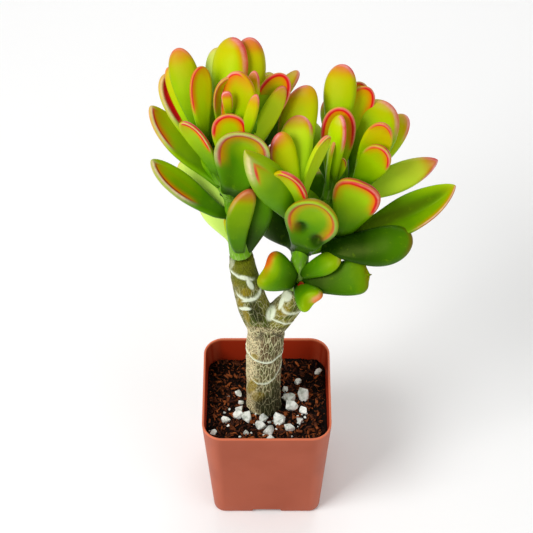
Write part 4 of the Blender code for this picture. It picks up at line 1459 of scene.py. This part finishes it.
@dataclass(frozen=True)
class LeafForm:
    """The general form of a leaf.

    What isn't in metres is a share of its length, its width or half its width.
    """

    widest_at: float = 0.68
    petiole: float = 0.42
    thickness: float = 0.15
    thickness_extra: float = 0.6 * MM
    bow: float = 0.05
    foot_offset: float = 0.9
    rim_round: float = 0.62
    usual_width: float = 13 * MM
    notch_width: float = 0.3
    spike_radius: float = 0.5 * MM
    scoop_from: float = 0.74
    dome_width: float = 0.42
    puff_inner: float = 0.16
    puff_outer: float = -0.05
    bead_height: float = 0.016
    groove_depth: float = 0.013
    pit_radius: float = 2.3 * MM
    pit_depth: float = 2.1 * MM
    pit_shade: float = 1.3
    crease_at: float = -0.32
    crease_width: float = 0.26
    uneven: float = 0.10 * MM
    lump_size: float = 2.1 * MM
    outline_points: int = 110
    segments: int = 64
    rings: int = 46

    def half_width(self, t: np.ndarray, leaf: Leaf) -> np.ndarray:
        """Half the leaf's width along it.

        Args:
            t: Shares of its length.
            leaf: The leaf.

        Returns:
            Half the width at each of them.
        """
        widest = self.widest_at - 0.18 * leaf.point
        past = np.maximum(0.0, (t - widest) / (1 - widest))
        end = np.maximum(0.0, 1 - past ** (2.3 - 0.5 * leaf.point)) ** (0.5 + 0.3 * leaf.point)
        return leaf.width / 2 * end * (self.petiole + (1 - self.petiole) * smoothstep(t / widest))

    def dent(self, t: np.ndarray, y: np.ndarray, leaf: Leaf) -> np.ndarray:
        """How far the notch in the leaf's end sets its skin back."""
        across = np.exp(-(y / (self.notch_width * leaf.width)) ** 2)
        return leaf.notch * across * smoothstep((t - 0.5) / 0.45)

    def rim_distance(self, x: np.ndarray, y: np.ndarray, length: float, leaf: Leaf) -> np.ndarray:
        """The distance of points from the leaf's outline, seen square to its face.

        Args:
            x: How far along the leaf the points are.
            y: How far across it they are.
            length: The leaf's length.
            leaf: The leaf.

        Returns:
            The distances.
        """
        t = 1 - (1 - np.linspace(0, 1, self.outline_points)) ** 1.6
        half = self.half_width(t, leaf)
        edge_x = length * t - self.dent(t, half, leaf)
        best = np.full(x.shape, np.inf)
        for sign in (1, -1):
            line = np.stack([edge_x, sign * half], 1)
            start, step = line[:-1], np.diff(line, axis=0)
            square = np.maximum((step ** 2).sum(1), 1e-14)
            dx, dy = x[:, None] - start[:, 0], y[:, None] - start[:, 1]
            share = np.clip((dx * step[:, 0] + dy * step[:, 1]) / square, 0, 1)
            gap = np.hypot(dx - share * step[:, 0], dy - share * step[:, 1]).min(1)
            best = np.minimum(best, gap)
        return best

    def pitted(self, x: np.ndarray, y: np.ndarray, length: float, leaf: Leaf,
               hand: float) -> np.ndarray:
        """How far in the leaf's pits each point is.

        Args:
            x: How far along the leaf the points are.
            y: How far across it they are.
            length: The leaf's length.
            leaf: The leaf.
            hand: 1 where across is to the right in the picture, and -1 where it is to the left.

        Returns:
            The shares, 1 in the middle of a pit.
        """
        share = np.zeros(x.shape)
        for along, aside in leaf.pits:
            square = (x - along * length) ** 2 + (y - hand * aside) ** 2
            share = np.maximum(share, np.exp(-square / self.pit_radius ** 2))
        return share

    def skin(self, t: np.ndarray, turn: np.ndarray, length: float, leaf: Leaf,
             mark: np.ndarray, phase: list[tuple[float, float]]) -> tuple[np.ndarray, ...]:
        """Points of a leaf's skin.

        Args:
            t: How far along the leaf each point is, from foot to tip.
            turn: How far round the leaf it is.
            length: The leaf's length.
            leaf: The leaf.
            mark: How strong the red line is at each point.
            phase: The way and the start of each wave of its unevenness.

        Returns:
            The places along, across and out of the hollow face, and the rim distance.
        """
        half = self.half_width(t, leaf)
        u = np.cos(turn)
        y = half * u
        x = length * t - self.dent(t, y, leaf)
        x += leaf.spike * np.exp(-(y / self.spike_radius) ** 2) * smoothstep((t - 0.9) / 0.1)
        rim = self.rim_distance(x, y, length, leaf)
        thick = leaf.width * self.thickness + self.thickness_extra
        fade = np.minimum(rim / (self.rim_round * thick), 1.0)
        swell = np.sqrt(1 - (1 - fade) ** 2)
        depth = leaf.hollow * leaf.width / 2 * smoothstep((t - 0.12) / 0.6)
        scoop = depth * np.maximum(0.0, (t - self.scoop_from) / (1 - self.scoop_from)) ** 2
        rise = scoop + (depth - scoop) * np.abs(u) ** leaf.fold
        upper = np.sin(turn) > 0
        dome = 1 - (1 - np.minimum(rim / (self.dome_width * leaf.width), 1.0)) ** 2
        share = np.where(upper, 0.5 - 0.12 * smoothstep((t - 0.2) / 0.5), -0.62)
        puff = np.where(upper, self.puff_inner, self.puff_outer)
        rise = rise + leaf.puff * leaf.width * dome * puff
        scaled = rim / MM * self.usual_width / leaf.width
        bead = self.bead_height * np.exp(-((scaled - leaf.offset * 0.55) / 0.5) ** 2)
        middle = leaf.offset + leaf.wide * 0.5
        groove = self.groove_depth * np.exp(-((scaled - middle) / (0.3 + leaf.wide * 0.25)) ** 2)
        relief = (bead - groove) * leaf.width * min(leaf.offset, 1.6) * mark * upper * fade
        bow = -self.bow * length * 4 * t * (1 - t)
        wave = sum(np.sin((x * math.cos(a) + y * math.sin(a)) / self.lump_size + b)
                   for a, b in phase) * self.uneven / 2 * fade * np.where(upper, 1, -1)
        return x, y, thick * share * swell + rise + relief + bow + wave, rim


class LeafPlace(NamedTuple):
    """Where a leaf grows: its foot, its tip, what its hollow face looks at, and its root."""

    foot: Vector
    tip: Vector
    toward: Vector
    root: Vector


@dataclass
class Shoot:
    """One green stem with its branches and leaves."""

    name: str
    stems: Sequence[str]
    leaves: Sequence[Leaf]
    spares: Sequence[Spare]
    skin: bpy.types.Material
    slim: float = 0.7
    voxel: float = 0.45 * MM
    form: LeafForm = field(default_factory=LeafForm)

    def place_seen(self, leaf: Leaf) -> LeafPlace:
        """Find where a leaf grows whose tip is seen at its picture point.

        Args:
            leaf: The leaf.

        Returns:
            Its place.
        """
        line = LINES[leaf.stem]
        root, radius = line.at(leaf.at)
        up = line.direction(leaf.at)
        toward = Vector(VIEW.eye) - root
        outward = (toward - up * toward.dot(up)).normalized()
        foot = root - outward * leaf.side.value * radius * self.form.foot_offset
        tip = VIEW.at_reach(leaf.tip_x_px, leaf.tip_y_px, foot, leaf.length, leaf.side)
        shift = -toward.normalized() * leaf.back
        return LeafPlace(foot + shift, tip + shift, toward, root)

    def place_turned(self, spare: Spare) -> LeafPlace:
        """Find where a leaf grows that is placed by its angles.

        Args:
            spare: The leaf.

        Returns:
            Its place.
        """
        line = LINES[spare.stem]
        foot = line.at(spare.at)[0]
        up = line.direction(spare.at)
        turn, lean = math.radians(spare.around), math.radians(spare.lean)
        out = Vector((math.cos(turn), math.sin(turn), 0.0))
        out = (out - up * out.dot(up)).normalized()
        tip = foot + (up * math.cos(lean) + out * math.sin(lean)) * spare.length
        return LeafPlace(foot, tip, out * math.cos(lean) - up * math.sin(lean), foot)

    def grow(self, blank: bpy.types.Object, name: str, leaf: Leaf, place: LeafPlace,
             draw: random.Random) -> None:
        """Shape one leaf from the blank, and dress it.

        Args:
            blank: A ball whose rings run from its lowest point to its highest.
            name: The leaf's name.
            leaf: Its size and look.
            place: Where it grows.
            draw: Random numbers for its unevenness.
        """
        piece = copy_piece(blank, name)
        # Where each point of the ball lies from pole to pole and round it
        ball = points_of(piece.data)
        ball /= np.linalg.norm(ball, axis=1)[:, None]
        share = np.arccos(np.clip(-ball[:, 2], -1, 1)) / math.pi
        turn = np.arctan2(ball[:, 1], ball[:, 0])
        first = 1.0 / self.form.rings
        t = 1 - (1 - np.clip((share - first) / (1 - first), 0, 1)) ** 1.5
        # The leaf's axes, turned so that a cupped leaf's tip still lies in its place
        reach = place.tip - place.foot
        straight = reach.normalized()
        upright = place.toward - straight * place.toward.dot(straight)
        upright.normalize()
        aside = straight.cross(upright)
        upright.rotate(Matrix.Rotation(math.radians(leaf.face), 3, straight))
        lift = math.asin(leaf.hollow * leaf.width / 2 / reach.length)
        along = straight * math.cos(lift) - upright * math.sin(lift)
        out = upright * math.cos(lift) + straight * math.sin(lift)
        across = out.cross(along)
        length = reach.length * math.cos(lift)
        right = straight.cross(Vector(VIEW.eye) - place.foot)
        hand = 1.0 if across.dot(right) > 0 else -1.0
        phase = [(draw.uniform(0, 6.28), draw.uniform(0, 6.28)) for _ in range(4)]
        sided = 1 - 0.4 * abs(leaf.lean) + 1.2 * leaf.lean * hand * np.cos(turn)
        mark = smoothstep((t - leaf.run) / 0.22) * np.clip(sided, 0, 1.2)
        x, y, z, rim = self.form.skin(t, turn, length, leaf, mark, phase)
        pits = self.form.pitted(x, y, length, leaf, hand) * (np.sin(turn) > 0)
        z -= pits * self.form.pit_depth
        pole = share < 0.5 * first
        y[pole], z[pole] = 0.0, 0.0
        to_root = place.root - place.foot
        placed = (np.array(place.foot) + np.outer(x, along) + np.outer(y, across)
                  + np.outer(z, out) + np.outer(4 * t * (1 - t) * leaf.sweep, aside)
                  + np.outer(1 - smoothstep(t / 0.2), to_root))
        move_points(piece.data, placed)
        # What the leaf's material reads
        keep(piece.data, "along", t)
        keep(piece.data, "rim", rim / MM * self.form.usual_width / leaf.width)
        keep(piece.data, "face", np.sin(turn))
        keep(piece.data, "mark", mark)
        ones = np.ones(len(t))
        for key in ("gold", "blush", "pale", "dusk", "painted_light", "offset", "wide", "cap"):
            keep(piece.data, key, ones * getattr(leaf, key))
        # Painted shade: the leaf's own shade, with more in its pits and along its middle crease.
        aslant = (np.cos(turn) * hand - self.form.crease_at) / self.form.crease_width
        crease = leaf.crease * np.exp(-aslant ** 2) * (np.sin(turn) > 0)
        crease *= smoothstep((0.98 - t) / 0.2)
        keep(piece.data, "shade", leaf.shade + self.form.pit_shade * pits + crease)
        hand_over(piece, f"{self.name}_shoot", self.skin)

    def build(self) -> None:
        """Grow the stems and all the leaves."""
        draw = random.Random(SEED)
        lines = [Line(STEMS[stem], self.slim) for stem in self.stems]
        boughs = Boughs(f"{self.name}_stem", lines, voxel=self.voxel)
        stem = boughs.build()
        points = points_of(stem.data)
        _, share, grain = boughs.measure(points)
        keep(stem.data, "grain", grain)
        keep(stem.data, "along", share)
        hand_over(stem, f"{self.name}_shoot", StemSkin().make())
        LOG.info("%s: %d stems", stem.name, len(self.stems))
        blank = start_piece(bpy.ops.mesh.primitive_uv_sphere_add, "leaf_blank",
                            segments=self.form.segments, ring_count=self.form.rings,
                            radius=10 * MM, location=(0, 0, 0))
        for i, leaf in enumerate(self.leaves):
            self.grow(blank, f"{self.name}_leaf_{i:02d}", leaf, self.place_seen(leaf), draw)
        for i, spare in enumerate(self.spares):
            gold = draw.uniform(0.3, 0.7)
            leaf = Leaf(spare.stem, spare.at, 0, 0, FAR, spare.length, spare.width, gold=gold)
            self.grow(blank, f"{self.name}_back_leaf_{i:02d}", leaf, self.place_turned(spare),
                      draw)
        discard([blank])
        LOG.info("%s: %d leaves", self.name, len(self.leaves) + len(self.spares))


# Pot


@dataclass
class Pot:
    """The moulded 57 mm square pot, with a drained notch under each side of its foot."""

    finish: PotPlastic
    top: float = 57.0 * MM
    foot: float = 48.6 * MM
    height: float = 63.0 * MM
    wall: float = 0.9 * MM
    floor: float = 1.2 * MM
    corner: float = 9.0 * MM
    corner_facets: int = 10
    foot_corner: float = 5.2 * MM
    foot_round: float = 1.6 * MM
    foot_facets: int = 4
    inner_foot_round: float = 1.2 * MM
    lip_round: float = 0.28 * MM
    lip_depth: float = 0.5 * MM
    rub_inset: float = 8.0 * MM
    rub_depth: float = 3.0 * MM
    sharp_over: float = math.radians(35)
    notch_width: float = 12.4 * MM
    notch_flare: float = 0.8 * MM
    notch_height: float = 2.3 * MM
    notch_depth: float = 11.0 * MM
    drain_radius: float = 2.8 * MM
    drain_out: float = 18.5 * MM
    drain_sides: int = 28
    cuts: int = 12
    lowest_cut: float = 6.0 * MM
    below_lip: float = 1.2 * MM

    def half_at(self, z: float) -> float:
        """Half the pot's outer width at a height."""
        return (self.foot + (self.top - self.foot) * z / self.height) / 2

    def tapered(self, name: str, inset: float, low: float, high: float,
                foot_round: float) -> bpy.types.Object:
        """A solid with the pot's taper and round corners.

        A cube is added at the size of the top, its upright edges are bevelled, its lower face
        is drawn in to the size of the foot, and the foot's edge is bevelled.

        Args:
            name: The object's name.
            inset: How far its sides lie inside the pot's outside.
            low: Its lowest height.
            high: Its highest height.
            foot_round: The size of the bevel round its foot.

        Returns:
            The solid.
        """
        wide = 2 * (self.half_at(high) - inset)
        box = start_piece(bpy.ops.mesh.primitive_cube_add, name, size=1.0)
        box.scale = (wide, wide, high - low)
        box.location = (0, 0, (low + high) / 2)
        bpy.ops.object.transform_apply(location=True, scale=True)
        bpy.ops.object.mode_set(mode="EDIT")
        pick(box, Part.EDGE, is_upright)
        bpy.ops.mesh.bevel(offset=self.corner - inset, segments=self.corner_facets,
                           affect="EDGES")
        pick(box, Part.FACE, is_underside)
        shrink = (self.half_at(low) - inset) / (wide / 2)
        bpy.ops.transform.resize(value=(shrink, shrink, 1), center_override=(0, 0, low))
        self.tighten(box, low, inset, (self.corner - inset) * shrink)
        if foot_round > 0:
            bpy.ops.mesh.bevel(offset=foot_round, segments=self.foot_facets, affect="EDGES")
        bpy.ops.object.mode_set(mode="OBJECT")
        return box

    def tighten(self, box: bpy.types.Object, low: float, inset: float, round_now: float) -> None:
        """Draw the corners of a tapered solid's lower face in to the foot's own rounding.

        Args:
            box: The solid, in edit mode.
            low: Its lowest height.
            inset: How far its sides lie inside the pot's outside.
            round_now: The corners' radius as it is.
        """
        bpy.ops.object.mode_set(mode="OBJECT")
        points = points_of(box.data)
        half = self.half_at(low) - inset
        wanted = self.foot_corner - inset
        flat, sign = np.abs(points[:, :2]), np.sign(points[:, :2])
        off = np.maximum(flat - (half - round_now), 0.0)
        reach = np.linalg.norm(off, axis=1)
        arc = (points[:, 2] < low + 0.1 * MM) & (reach > 0.5 * round_now)
        spot = half - wanted + wanted * off / np.maximum(reach, 1e-9)[:, None]
        points[arc, :2] = (spot * sign)[arc]
        move_points(box.data, points)
        bpy.ops.object.mode_set(mode="EDIT")

    def carve(self, target: bpy.types.Object, tool: bpy.types.Object, way: Carve) -> None:
        """Apply a Boolean of a tool to the target, and remove the tool."""
        use_modifier(target, "BOOLEAN", operation=way.value, solver="EXACT", object=tool)
        discard([tool])

    def notch(self, name: str, grow: float, low: float, high: float) -> bpy.types.Object:
        """The room of the front notch, or with grow the bit of floor round it.

        A cube is added at its size and its lower face is drawn wider, for sloping flanks.

        Args:
            name: The object's name.
            grow: How far it reaches past the notch.
            low: Its lowest height.
            high: Its highest height.

        Returns:
            The solid.
        """
        inner = -(self.foot / 2 - self.notch_depth - grow)
        outer = -self.top / 2 if grow == 0 else -(self.foot / 2 - self.wall / 2)
        box = start_piece(bpy.ops.mesh.primitive_cube_add, name, size=1.0)
        box.scale = (self.notch_width + 2 * grow, abs(outer - inner), high - low)
        box.location = (0, (inner + outer) / 2, (low + high) / 2)
        bpy.ops.object.transform_apply(location=True, scale=True)
        bpy.ops.object.mode_set(mode="EDIT")
        pick(box, Part.FACE, is_underside)
        wider = 1 + 2 * self.notch_flare / self.notch_width
        bpy.ops.transform.resize(value=(wider, 1, 1), center_override=(0, 0, low))
        bpy.ops.object.mode_set(mode="OBJECT")
        return box

    def drain(self) -> bpy.types.Object:
        """Make the front drain hole's cutter.

        Returns:
            The cutter, active and selected.
        """
        return start_piece(bpy.ops.mesh.primitive_cylinder_add, "drain",
                           vertices=self.drain_sides, radius=self.drain_radius, depth=8 * MM,
                           location=(0, -self.drain_out, 2 * MM))

    def quarter_turns(self, piece: bpy.types.Object) -> bpy.types.Object:
        """Repeat a piece at each side of the pot.

        Args:
            piece: The piece at the front, active and selected.

        Returns:
            All four, as one object.
        """
        bpy.ops.object.transform_apply(location=True)
        copies = [piece]
        for side in range(1, 4):
            made = copy_piece(piece, f"{piece.name}_{side}")
            made.data.transform(Matrix.Rotation(side * math.pi / 2, 4, "Z"))
            copies.append(made)
        return join_pieces(copies, piece.name)

    def build(self) -> None:
        """Build and dress the pot."""
        pot = self.tapered("pot_shell", 0.0, 0.0, self.height, self.foot_round)
        hollow = self.tapered("hollow", self.wall, self.floor, self.height + self.wall,
                              self.inner_foot_round)
        self.carve(pot, hollow, Carve.TAKE)
        roofs = self.quarter_turns(self.notch("roof", self.wall, self.floor / 2,
                                              self.notch_height + self.floor))
        self.carve(pot, roofs, Carve.ADD)
        notches = self.quarter_turns(self.notch("notch", 0.0, -1 * MM, self.notch_height))
        self.carve(pot, notches, Carve.TAKE)
        self.carve(pot, self.quarter_turns(self.drain()), Carve.TAKE)
        use_modifier(pot, "BEVEL", width=self.lip_round, segments=3, limit_method="ANGLE",
                     angle_limit=math.radians(50), use_clamp_overlap=True)
        use_modifier(pot, "TRIANGULATE")
        self.refine(pot)
        self.keep_places(pot)
        hand_over(pot, "pot", self.finish.make())
        pot.data.set_sharp_from_angle(angle=self.sharp_over)

    def keep_places(self, pot: bpy.types.Object) -> None:
        """Keep where the pot is inner wall, lip or rubbed corner, for its finish.

        Args:
            pot: The finished shape.
        """
        points, normals = points_of(pot.data), normals_of(pot.data)
        outward = (points[:, :2] * normals[:, :2]).sum(1)
        high = points[:, 2] > self.height - self.lip_depth
        deep = points[:, 2] > self.floor + self.notch_height + self.lip_depth
        half = np.array([self.half_at(z) for z in points[:, 2]])
        across = np.maximum(np.abs(points[:, 0]), np.abs(points[:, 1]))
        # Where the finish paints shade on the inner wall.
        keep(pot.data, "inner", ((outward < 0) & deep & ~high).astype(float))
        # Where the finish paints light on the lip.
        keep(pot.data, "lip", high.astype(float))
        lesser = np.minimum(np.abs(points[:, 0]), np.abs(points[:, 1]))
        corner = smoothstep((lesser - half + self.rub_inset) / (self.rub_inset / 2))
        keep(pot.data, "rub", corner * (across > half - self.rub_depth))

    def refine(self, pot: bpy.types.Object) -> None:
        """Split the pot's long faces, so that what it keeps changes over short distances.

        Args:
            pot: The pot. It is not used: the cuts are made on the active object.
        """
        for height in np.linspace(self.lowest_cut, self.height - self.below_lip, self.cuts):
            bpy.ops.object.mode_set(mode="EDIT")
            bpy.ops.mesh.select_all(action="SELECT")
            bpy.ops.mesh.bisect(plane_co=(0, 0, float(height)), plane_no=(0, 0, 1))
            bpy.ops.object.mode_set(mode="OBJECT")


# Potting mix


class Chip(NamedTuple):
    """A perlite chip on the soil, by the picture point it is seen at and its size."""

    x_px: float
    y_px: float
    size: float


PERLITE = (
    Chip(318, 373, 3.2 * MM), Chip(298, 383, 3.0 * MM), Chip(285, 390, 2.6 * MM),
    Chip(284, 398, 2.8 * MM), Chip(304, 397, 5.6 * MM), Chip(289, 400, 5.0 * MM),
    Chip(292, 408, 5.0 * MM), Chip(304, 411, 3.4 * MM), Chip(239, 395, 2.8 * MM),
    Chip(241, 403, 2.4 * MM), Chip(239, 410, 3.0 * MM), Chip(238, 416, 4.4 * MM),
    Chip(247, 419, 4.6 * MM), Chip(225, 421, 3.6 * MM), Chip(214, 433, 2.8 * MM),
    Chip(263, 419, 3.6 * MM), Chip(260, 426, 4.4 * MM), Chip(279, 421, 5.6 * MM),
    Chip(269, 431, 4.6 * MM), Chip(289, 429, 3.8 * MM), Chip(300, 421, 3.2 * MM),
    Chip(246, 433, 2.4 * MM), Chip(277, 376, 2.6 * MM), Chip(270, 441, 3.0 * MM),
)


@dataclass
class Soil:
    """The potting mix: a crumbly surface, bits of bark and coir, and perlite."""

    pot: Pot
    level: float = 52.0 * MM
    slope: float = -0.09
    gap: float = 0.1 * MM
    foot: float = 3.0 * MM
    cells: int = 170
    corner_gap: float = 0.4 * MM
    roughness: float = 1.3 * MM
    bits: int = 1900
    bit_least: float = 0.9 * MM
    bit_extra: float = 2.9 * MM
    bit_rise: float = 0.16
    grains: int = 46
    grain_clear: float = 9.0 * MM
    chip_growth: float = 1.12
    chip_rise: float = 0.14
    bit_sharp_over: float = math.radians(30)
    chip_sharp_over: float = math.radians(32)

    def height(self, x: float, y: float) -> float:
        """The surface's height, with its bumps.

        Args:
            x: How far right of the middle.
            y: How far behind it.

        Returns:
            The height.
        """
        bump = noise.noise(Vector((x, y, 0.0)) / (5 * MM)) + 0.5 * noise.noise(
            Vector((x, y, 9 * MM)) / (2.2 * MM))
        return self.level + self.slope * y + self.roughness * bump

    def crumbs(self, x: float, y: float) -> float:
        """The finer crumbs of the surface."""
        spot = Vector((x, y, 0.0))
        return (0.45 * noise.noise(spot / (0.9 * MM)) + 0.3 * noise.noise(spot / (0.45 * MM))) * MM

    def half(self) -> float:
        """Half the width of the surface."""
        return self.pot.half_at(self.level) - self.pot.wall - self.gap

    def beyond(self, x: float, y: float) -> float:
        """How far a point lies outside the surface's rounded square.

        Args:
            x: How far right of the middle.
            y: How far behind it.

        Returns:
            The distance, which is below 0 inside.
        """
        corner = self.pot.corner - self.pot.wall - self.corner_gap
        flat = self.half() - corner
        return math.hypot(max(abs(x) - flat, 0.0), max(abs(y) - flat, 0.0)) - corner

    def build_bed(self) -> None:
        """The bed: a grid cut to the pot's inside, extruded down and raised into crumbs."""
        wide = 2 * self.half()
        bed = start_piece(bpy.ops.mesh.primitive_grid_add, "soil_bed",
                          x_subdivisions=self.cells, y_subdivisions=self.cells, size=wide)
        bpy.ops.object.mode_set(mode="EDIT")
        pick(bed, Part.POINT, lambda vert: self.beyond(vert.co.x, vert.co.y) > 0.01 * MM)
        bpy.ops.mesh.delete(type="VERT")
        bpy.ops.mesh.select_all(action="DESELECT")
        bpy.ops.mesh.select_non_manifold()
        bpy.ops.mesh.extrude_region_move(TRANSFORM_OT_translate={"value": (0, 0, -1.0)})
        bpy.ops.mesh.edge_face_add()
        bpy.ops.mesh.select_all(action="SELECT")
        bpy.ops.mesh.normals_make_consistent(inside=False)
        bpy.ops.object.mode_set(mode="OBJECT")
        points = points_of(bed.data)
        shrink = (self.pot.half_at(self.foot) - self.pot.wall - self.gap) / self.half()
        for row in points:
            if row[2] < -0.5:
                row[:2] *= shrink
                row[2] = self.foot
            else:
                row[2] = self.height(row[0], row[1]) + self.crumbs(row[0], row[1])
        move_points(bed.data, points)
        hand_over(bed, "soil", Earth().make())

    def crumb(self, name: str, size: tuple[float, float, float], cuts: int,
              draw: random.Random) -> bpy.types.Object:
        """A hard-edged crumb: a cube cut by sloping planes, with its edges bevelled.

        Args:
            name: Its name.
            size: Its length, width and height.
            cuts: How many planes cut it.
            draw: Random numbers for the planes.

        Returns:
            The crumb.
        """
        piece = start_piece(bpy.ops.mesh.primitive_cube_add, name, size=1.0)
        piece.scale = size
        bpy.ops.object.transform_apply(scale=True)
        bpy.ops.object.mode_set(mode="EDIT")
        for _ in range(cuts):
            way = Vector([draw.gauss(0, 1) for _ in range(3)]).normalized()
            reach = 0.36 + 0.12 * draw.random()
            spot = Vector(s * w * reach for s, w in zip(size, way))
            bpy.ops.mesh.select_all(action="SELECT")
            bpy.ops.mesh.bisect(plane_co=spot, plane_no=way, use_fill=True, clear_outer=True)
        bpy.ops.mesh.select_all(action="SELECT")
        bpy.ops.mesh.bevel(offset=0.05 * min(size), segments=1, affect="EDGES")
        bpy.ops.object.mode_set(mode="OBJECT")
        return piece

    def lay(self, model: bpy.types.Object, name: str, spot: tuple[float, float, float],
            size: float, draw: random.Random, tilt: float, tone: float) -> bpy.types.Object:
        """Lay one copy of a crumb on the bed.

        Args:
            model: The crumb.
            name: The copy's name.
            spot: Its middle.
            size: How many times larger than the crumb it is.
            draw: Random numbers for its turns.
            tilt: How far it may lean, in radians.
            tone: How light or dirty it is, from 0 to 1.

        Returns:
            The copy.
        """
        made = copy_piece(model, name)
        turn = Matrix.Rotation(draw.uniform(0, math.tau), 4, "Z")
        lean = Matrix.Rotation(draw.uniform(-tilt, tilt), 4, "X")
        roll = Matrix.Rotation(draw.uniform(-tilt, tilt), 4, "Y")
        grow = Matrix.Diagonal((size, size, size, 1.0))
        made.data.transform(Matrix.Translation(spot) @ turn @ lean @ roll @ grow)
        keep(made.data, "tone", np.full(len(made.data.vertices), tone))
        return made

    def scatter(self, draw: random.Random) -> list[bpy.types.Object]:
        """Strew bits of bark and coir all over the bed.

        Args:
            draw: Random numbers for their places and sizes.

        Returns:
            The bits.
        """
        axis, radius = Line(TRUNK_LINE).at(0.1)
        slivers = [self.crumb(f"sliver_{i}", s, 5, draw) for i, s in enumerate(
            ((1.0, 0.22, 0.14), (1.0, 0.34, 0.2), (1.0, 0.11, 0.09), (1.0, 0.14, 0.12)))]
        laid = []
        limit = self.half() - 0.6 * MM
        while len(laid) < self.bits:
            x, y = draw.uniform(-limit, limit), draw.uniform(-limit, limit)
            size = self.bit_least + self.bit_extra * draw.random() ** 2.2
            if self.beyond(x, y) > -0.5 * size - 0.1 * MM:
                continue
            if math.hypot(x - axis.x, y - axis.y) < radius + 0.3 * MM:
                continue
            spot = (x, y, self.height(x, y) + self.bit_rise * size)
            laid.append(self.lay(draw.choice(slivers), f"bit_{len(laid)}", spot, size, draw,
                                 0.6, draw.random() ** 2.4))
        discard(slivers)
        return laid

    def clear_of_sides(self, spot: Vector, size: float) -> Vector:
        """Move a chip away from the trunk and from the pot's wall as needed.

        Args:
            spot: Where the chip is seen.
            size: Its size.

        Returns:
            Its place, at height 0.
        """
        axis, _ = Line(TRUNK_LINE).at(0.1)
        way = Vector((spot.x - axis.x, spot.y - axis.y, 0.0))
        least = TRUNK_LINE[0].radius + 0.45 * size
        spot = spot + way.normalized() * max(0.0, least - way.length)
        most = self.half() - 0.6 * size
        return Vector((min(max(spot.x, -most), most), min(max(spot.y, -most), most), 0.0))

    def build_perlite(self, draw: random.Random) -> None:
        """Build and dress the perlite chips and grains.

        Args:
            draw: Random numbers for their shapes and turns.
        """
        models = [self.crumb(f"chip_{i}", s, 9, draw) for i, s in enumerate(
            ((1.0, 0.8, 0.75), (0.95, 0.85, 0.7), (1.0, 0.7, 0.8), (0.9, 0.9, 0.8)))]
        laid = []
        for i, chip in enumerate(PERLITE):
            seen = VIEW.on_level(chip.x_px, chip.y_px, self.level, self.slope)
            spot = self.clear_of_sides(seen, chip.size)
            spot.z = self.height(spot.x, spot.y) + self.chip_rise * chip.size
            laid.append(self.lay(models[i % len(models)], f"perlite_{i}", tuple(spot),
                                 chip.size * self.chip_growth, draw, 0.5, draw.random() * 0.6))
        for _ in range(self.grains):
            x, y = draw.gauss(4 * MM, 11 * MM), draw.gauss(-11 * MM, 8 * MM)
            size = draw.uniform(0.6, 1.5) * MM
            if self.beyond(x, y) > -size or math.hypot(x, y) < self.grain_clear:
                continue
            laid.append(self.lay(draw.choice(models), f"grain_{len(laid)}",
                                 (x, y, self.height(x, y) + 0.2 * size), size, draw, 0.9,
                                 draw.random()))
        discard(models)
        whole = join_pieces(laid, "perlite")
        hand_over(whole, "soil", Perlite().make())
        whole.data.set_sharp_from_angle(angle=self.chip_sharp_over)

    def build(self) -> None:
        """Build and dress the bed and what lies on it."""
        draw = random.Random(SEED)
        self.build_bed()
        bits = join_pieces(self.scatter(draw), "bark_bits")
        hand_over(bits, "soil", Fibre().make())
        bits.data.set_sharp_from_angle(angle=self.bit_sharp_over)
        self.build_perlite(draw)


# Studio


class Lamp(NamedTuple):
    """A square soft light: its place, its width in metres and its power in watts."""

    name: str
    spot: tuple[float, float, float]
    size: float
    power: float


@dataclass
class Studio:
    """The pale floor, and the soft lights that look at the plant's middle."""

    floor_size: float = 3.0
    sky: float = 0.42
    middle: tuple[float, float, float] = (0.01, 0.0, 0.12)
    lamps: Sequence[Lamp] = (
        Lamp("key", (-0.55, -0.35, 0.75), 0.45, 6.5),
        Lamp("fill", (0.6, -0.5, 0.45), 0.7, 1.5),
        Lamp("back", (0.1, 0.7, 0.6), 0.6, 2.2),
    )

    def hang(self, lamp: Lamp) -> None:
        """Hang a lamp.

        Args:
            lamp: The lamp.
        """
        data = bpy.data.lights.new(lamp.name, "AREA")
        data.shape = "SQUARE"
        data.size = lamp.size
        data.energy = lamp.power
        made = bpy.data.objects.new(lamp.name, data)
        made.location = lamp.spot
        look = Vector(self.middle) - Vector(lamp.spot)
        made.rotation_euler = look.to_track_quat("-Z", "Y").to_euler()
        bpy.context.collection.objects.link(made)

    def build(self) -> None:
        """Lay the floor, hang the lamps and light the sky."""
        floor = start_piece(bpy.ops.mesh.primitive_plane_add, "floor", size=self.floor_size)
        floor.data.materials.append(Plain().make())
        for lamp in self.lamps:
            self.hang(lamp)
        world = bpy.data.worlds.new("sky")
        bpy.context.scene.world = world
        world.use_nodes = True
        sky = world.node_tree.nodes["Background"]
        sky.inputs["Color"].default_value = (1.0, 1.0, 1.0, 1.0)
        sky.inputs["Strength"].default_value = self.sky
        bpy.context.scene.view_settings.view_transform = "Standard"


def main() -> None:
    """Build the scene, piece by piece."""
    logging.basicConfig(level=logging.INFO, format="%(message)s")
    VIEW.camera()
    Studio().build()
    LOG.info("studio")
    pot = Pot(PotPlastic())
    pot.build()
    LOG.info("pot")
    Soil(pot).build()
    LOG.info("soil")
    Trunk(Bark()).build()
    LOG.info("trunk")
    skin = LeafSkin().make()
    Shoot("left", ("left_main", "left_back", "left_side"), LEFT_LEAVES, LEFT_SPARES, skin).build()
    Shoot("right", ("right_main", "right_front", "right_low", "right_side", "right_back"),
          RIGHT_LEAVES, RIGHT_SPARES, skin).build()


if __name__ == "__main__":
    main()
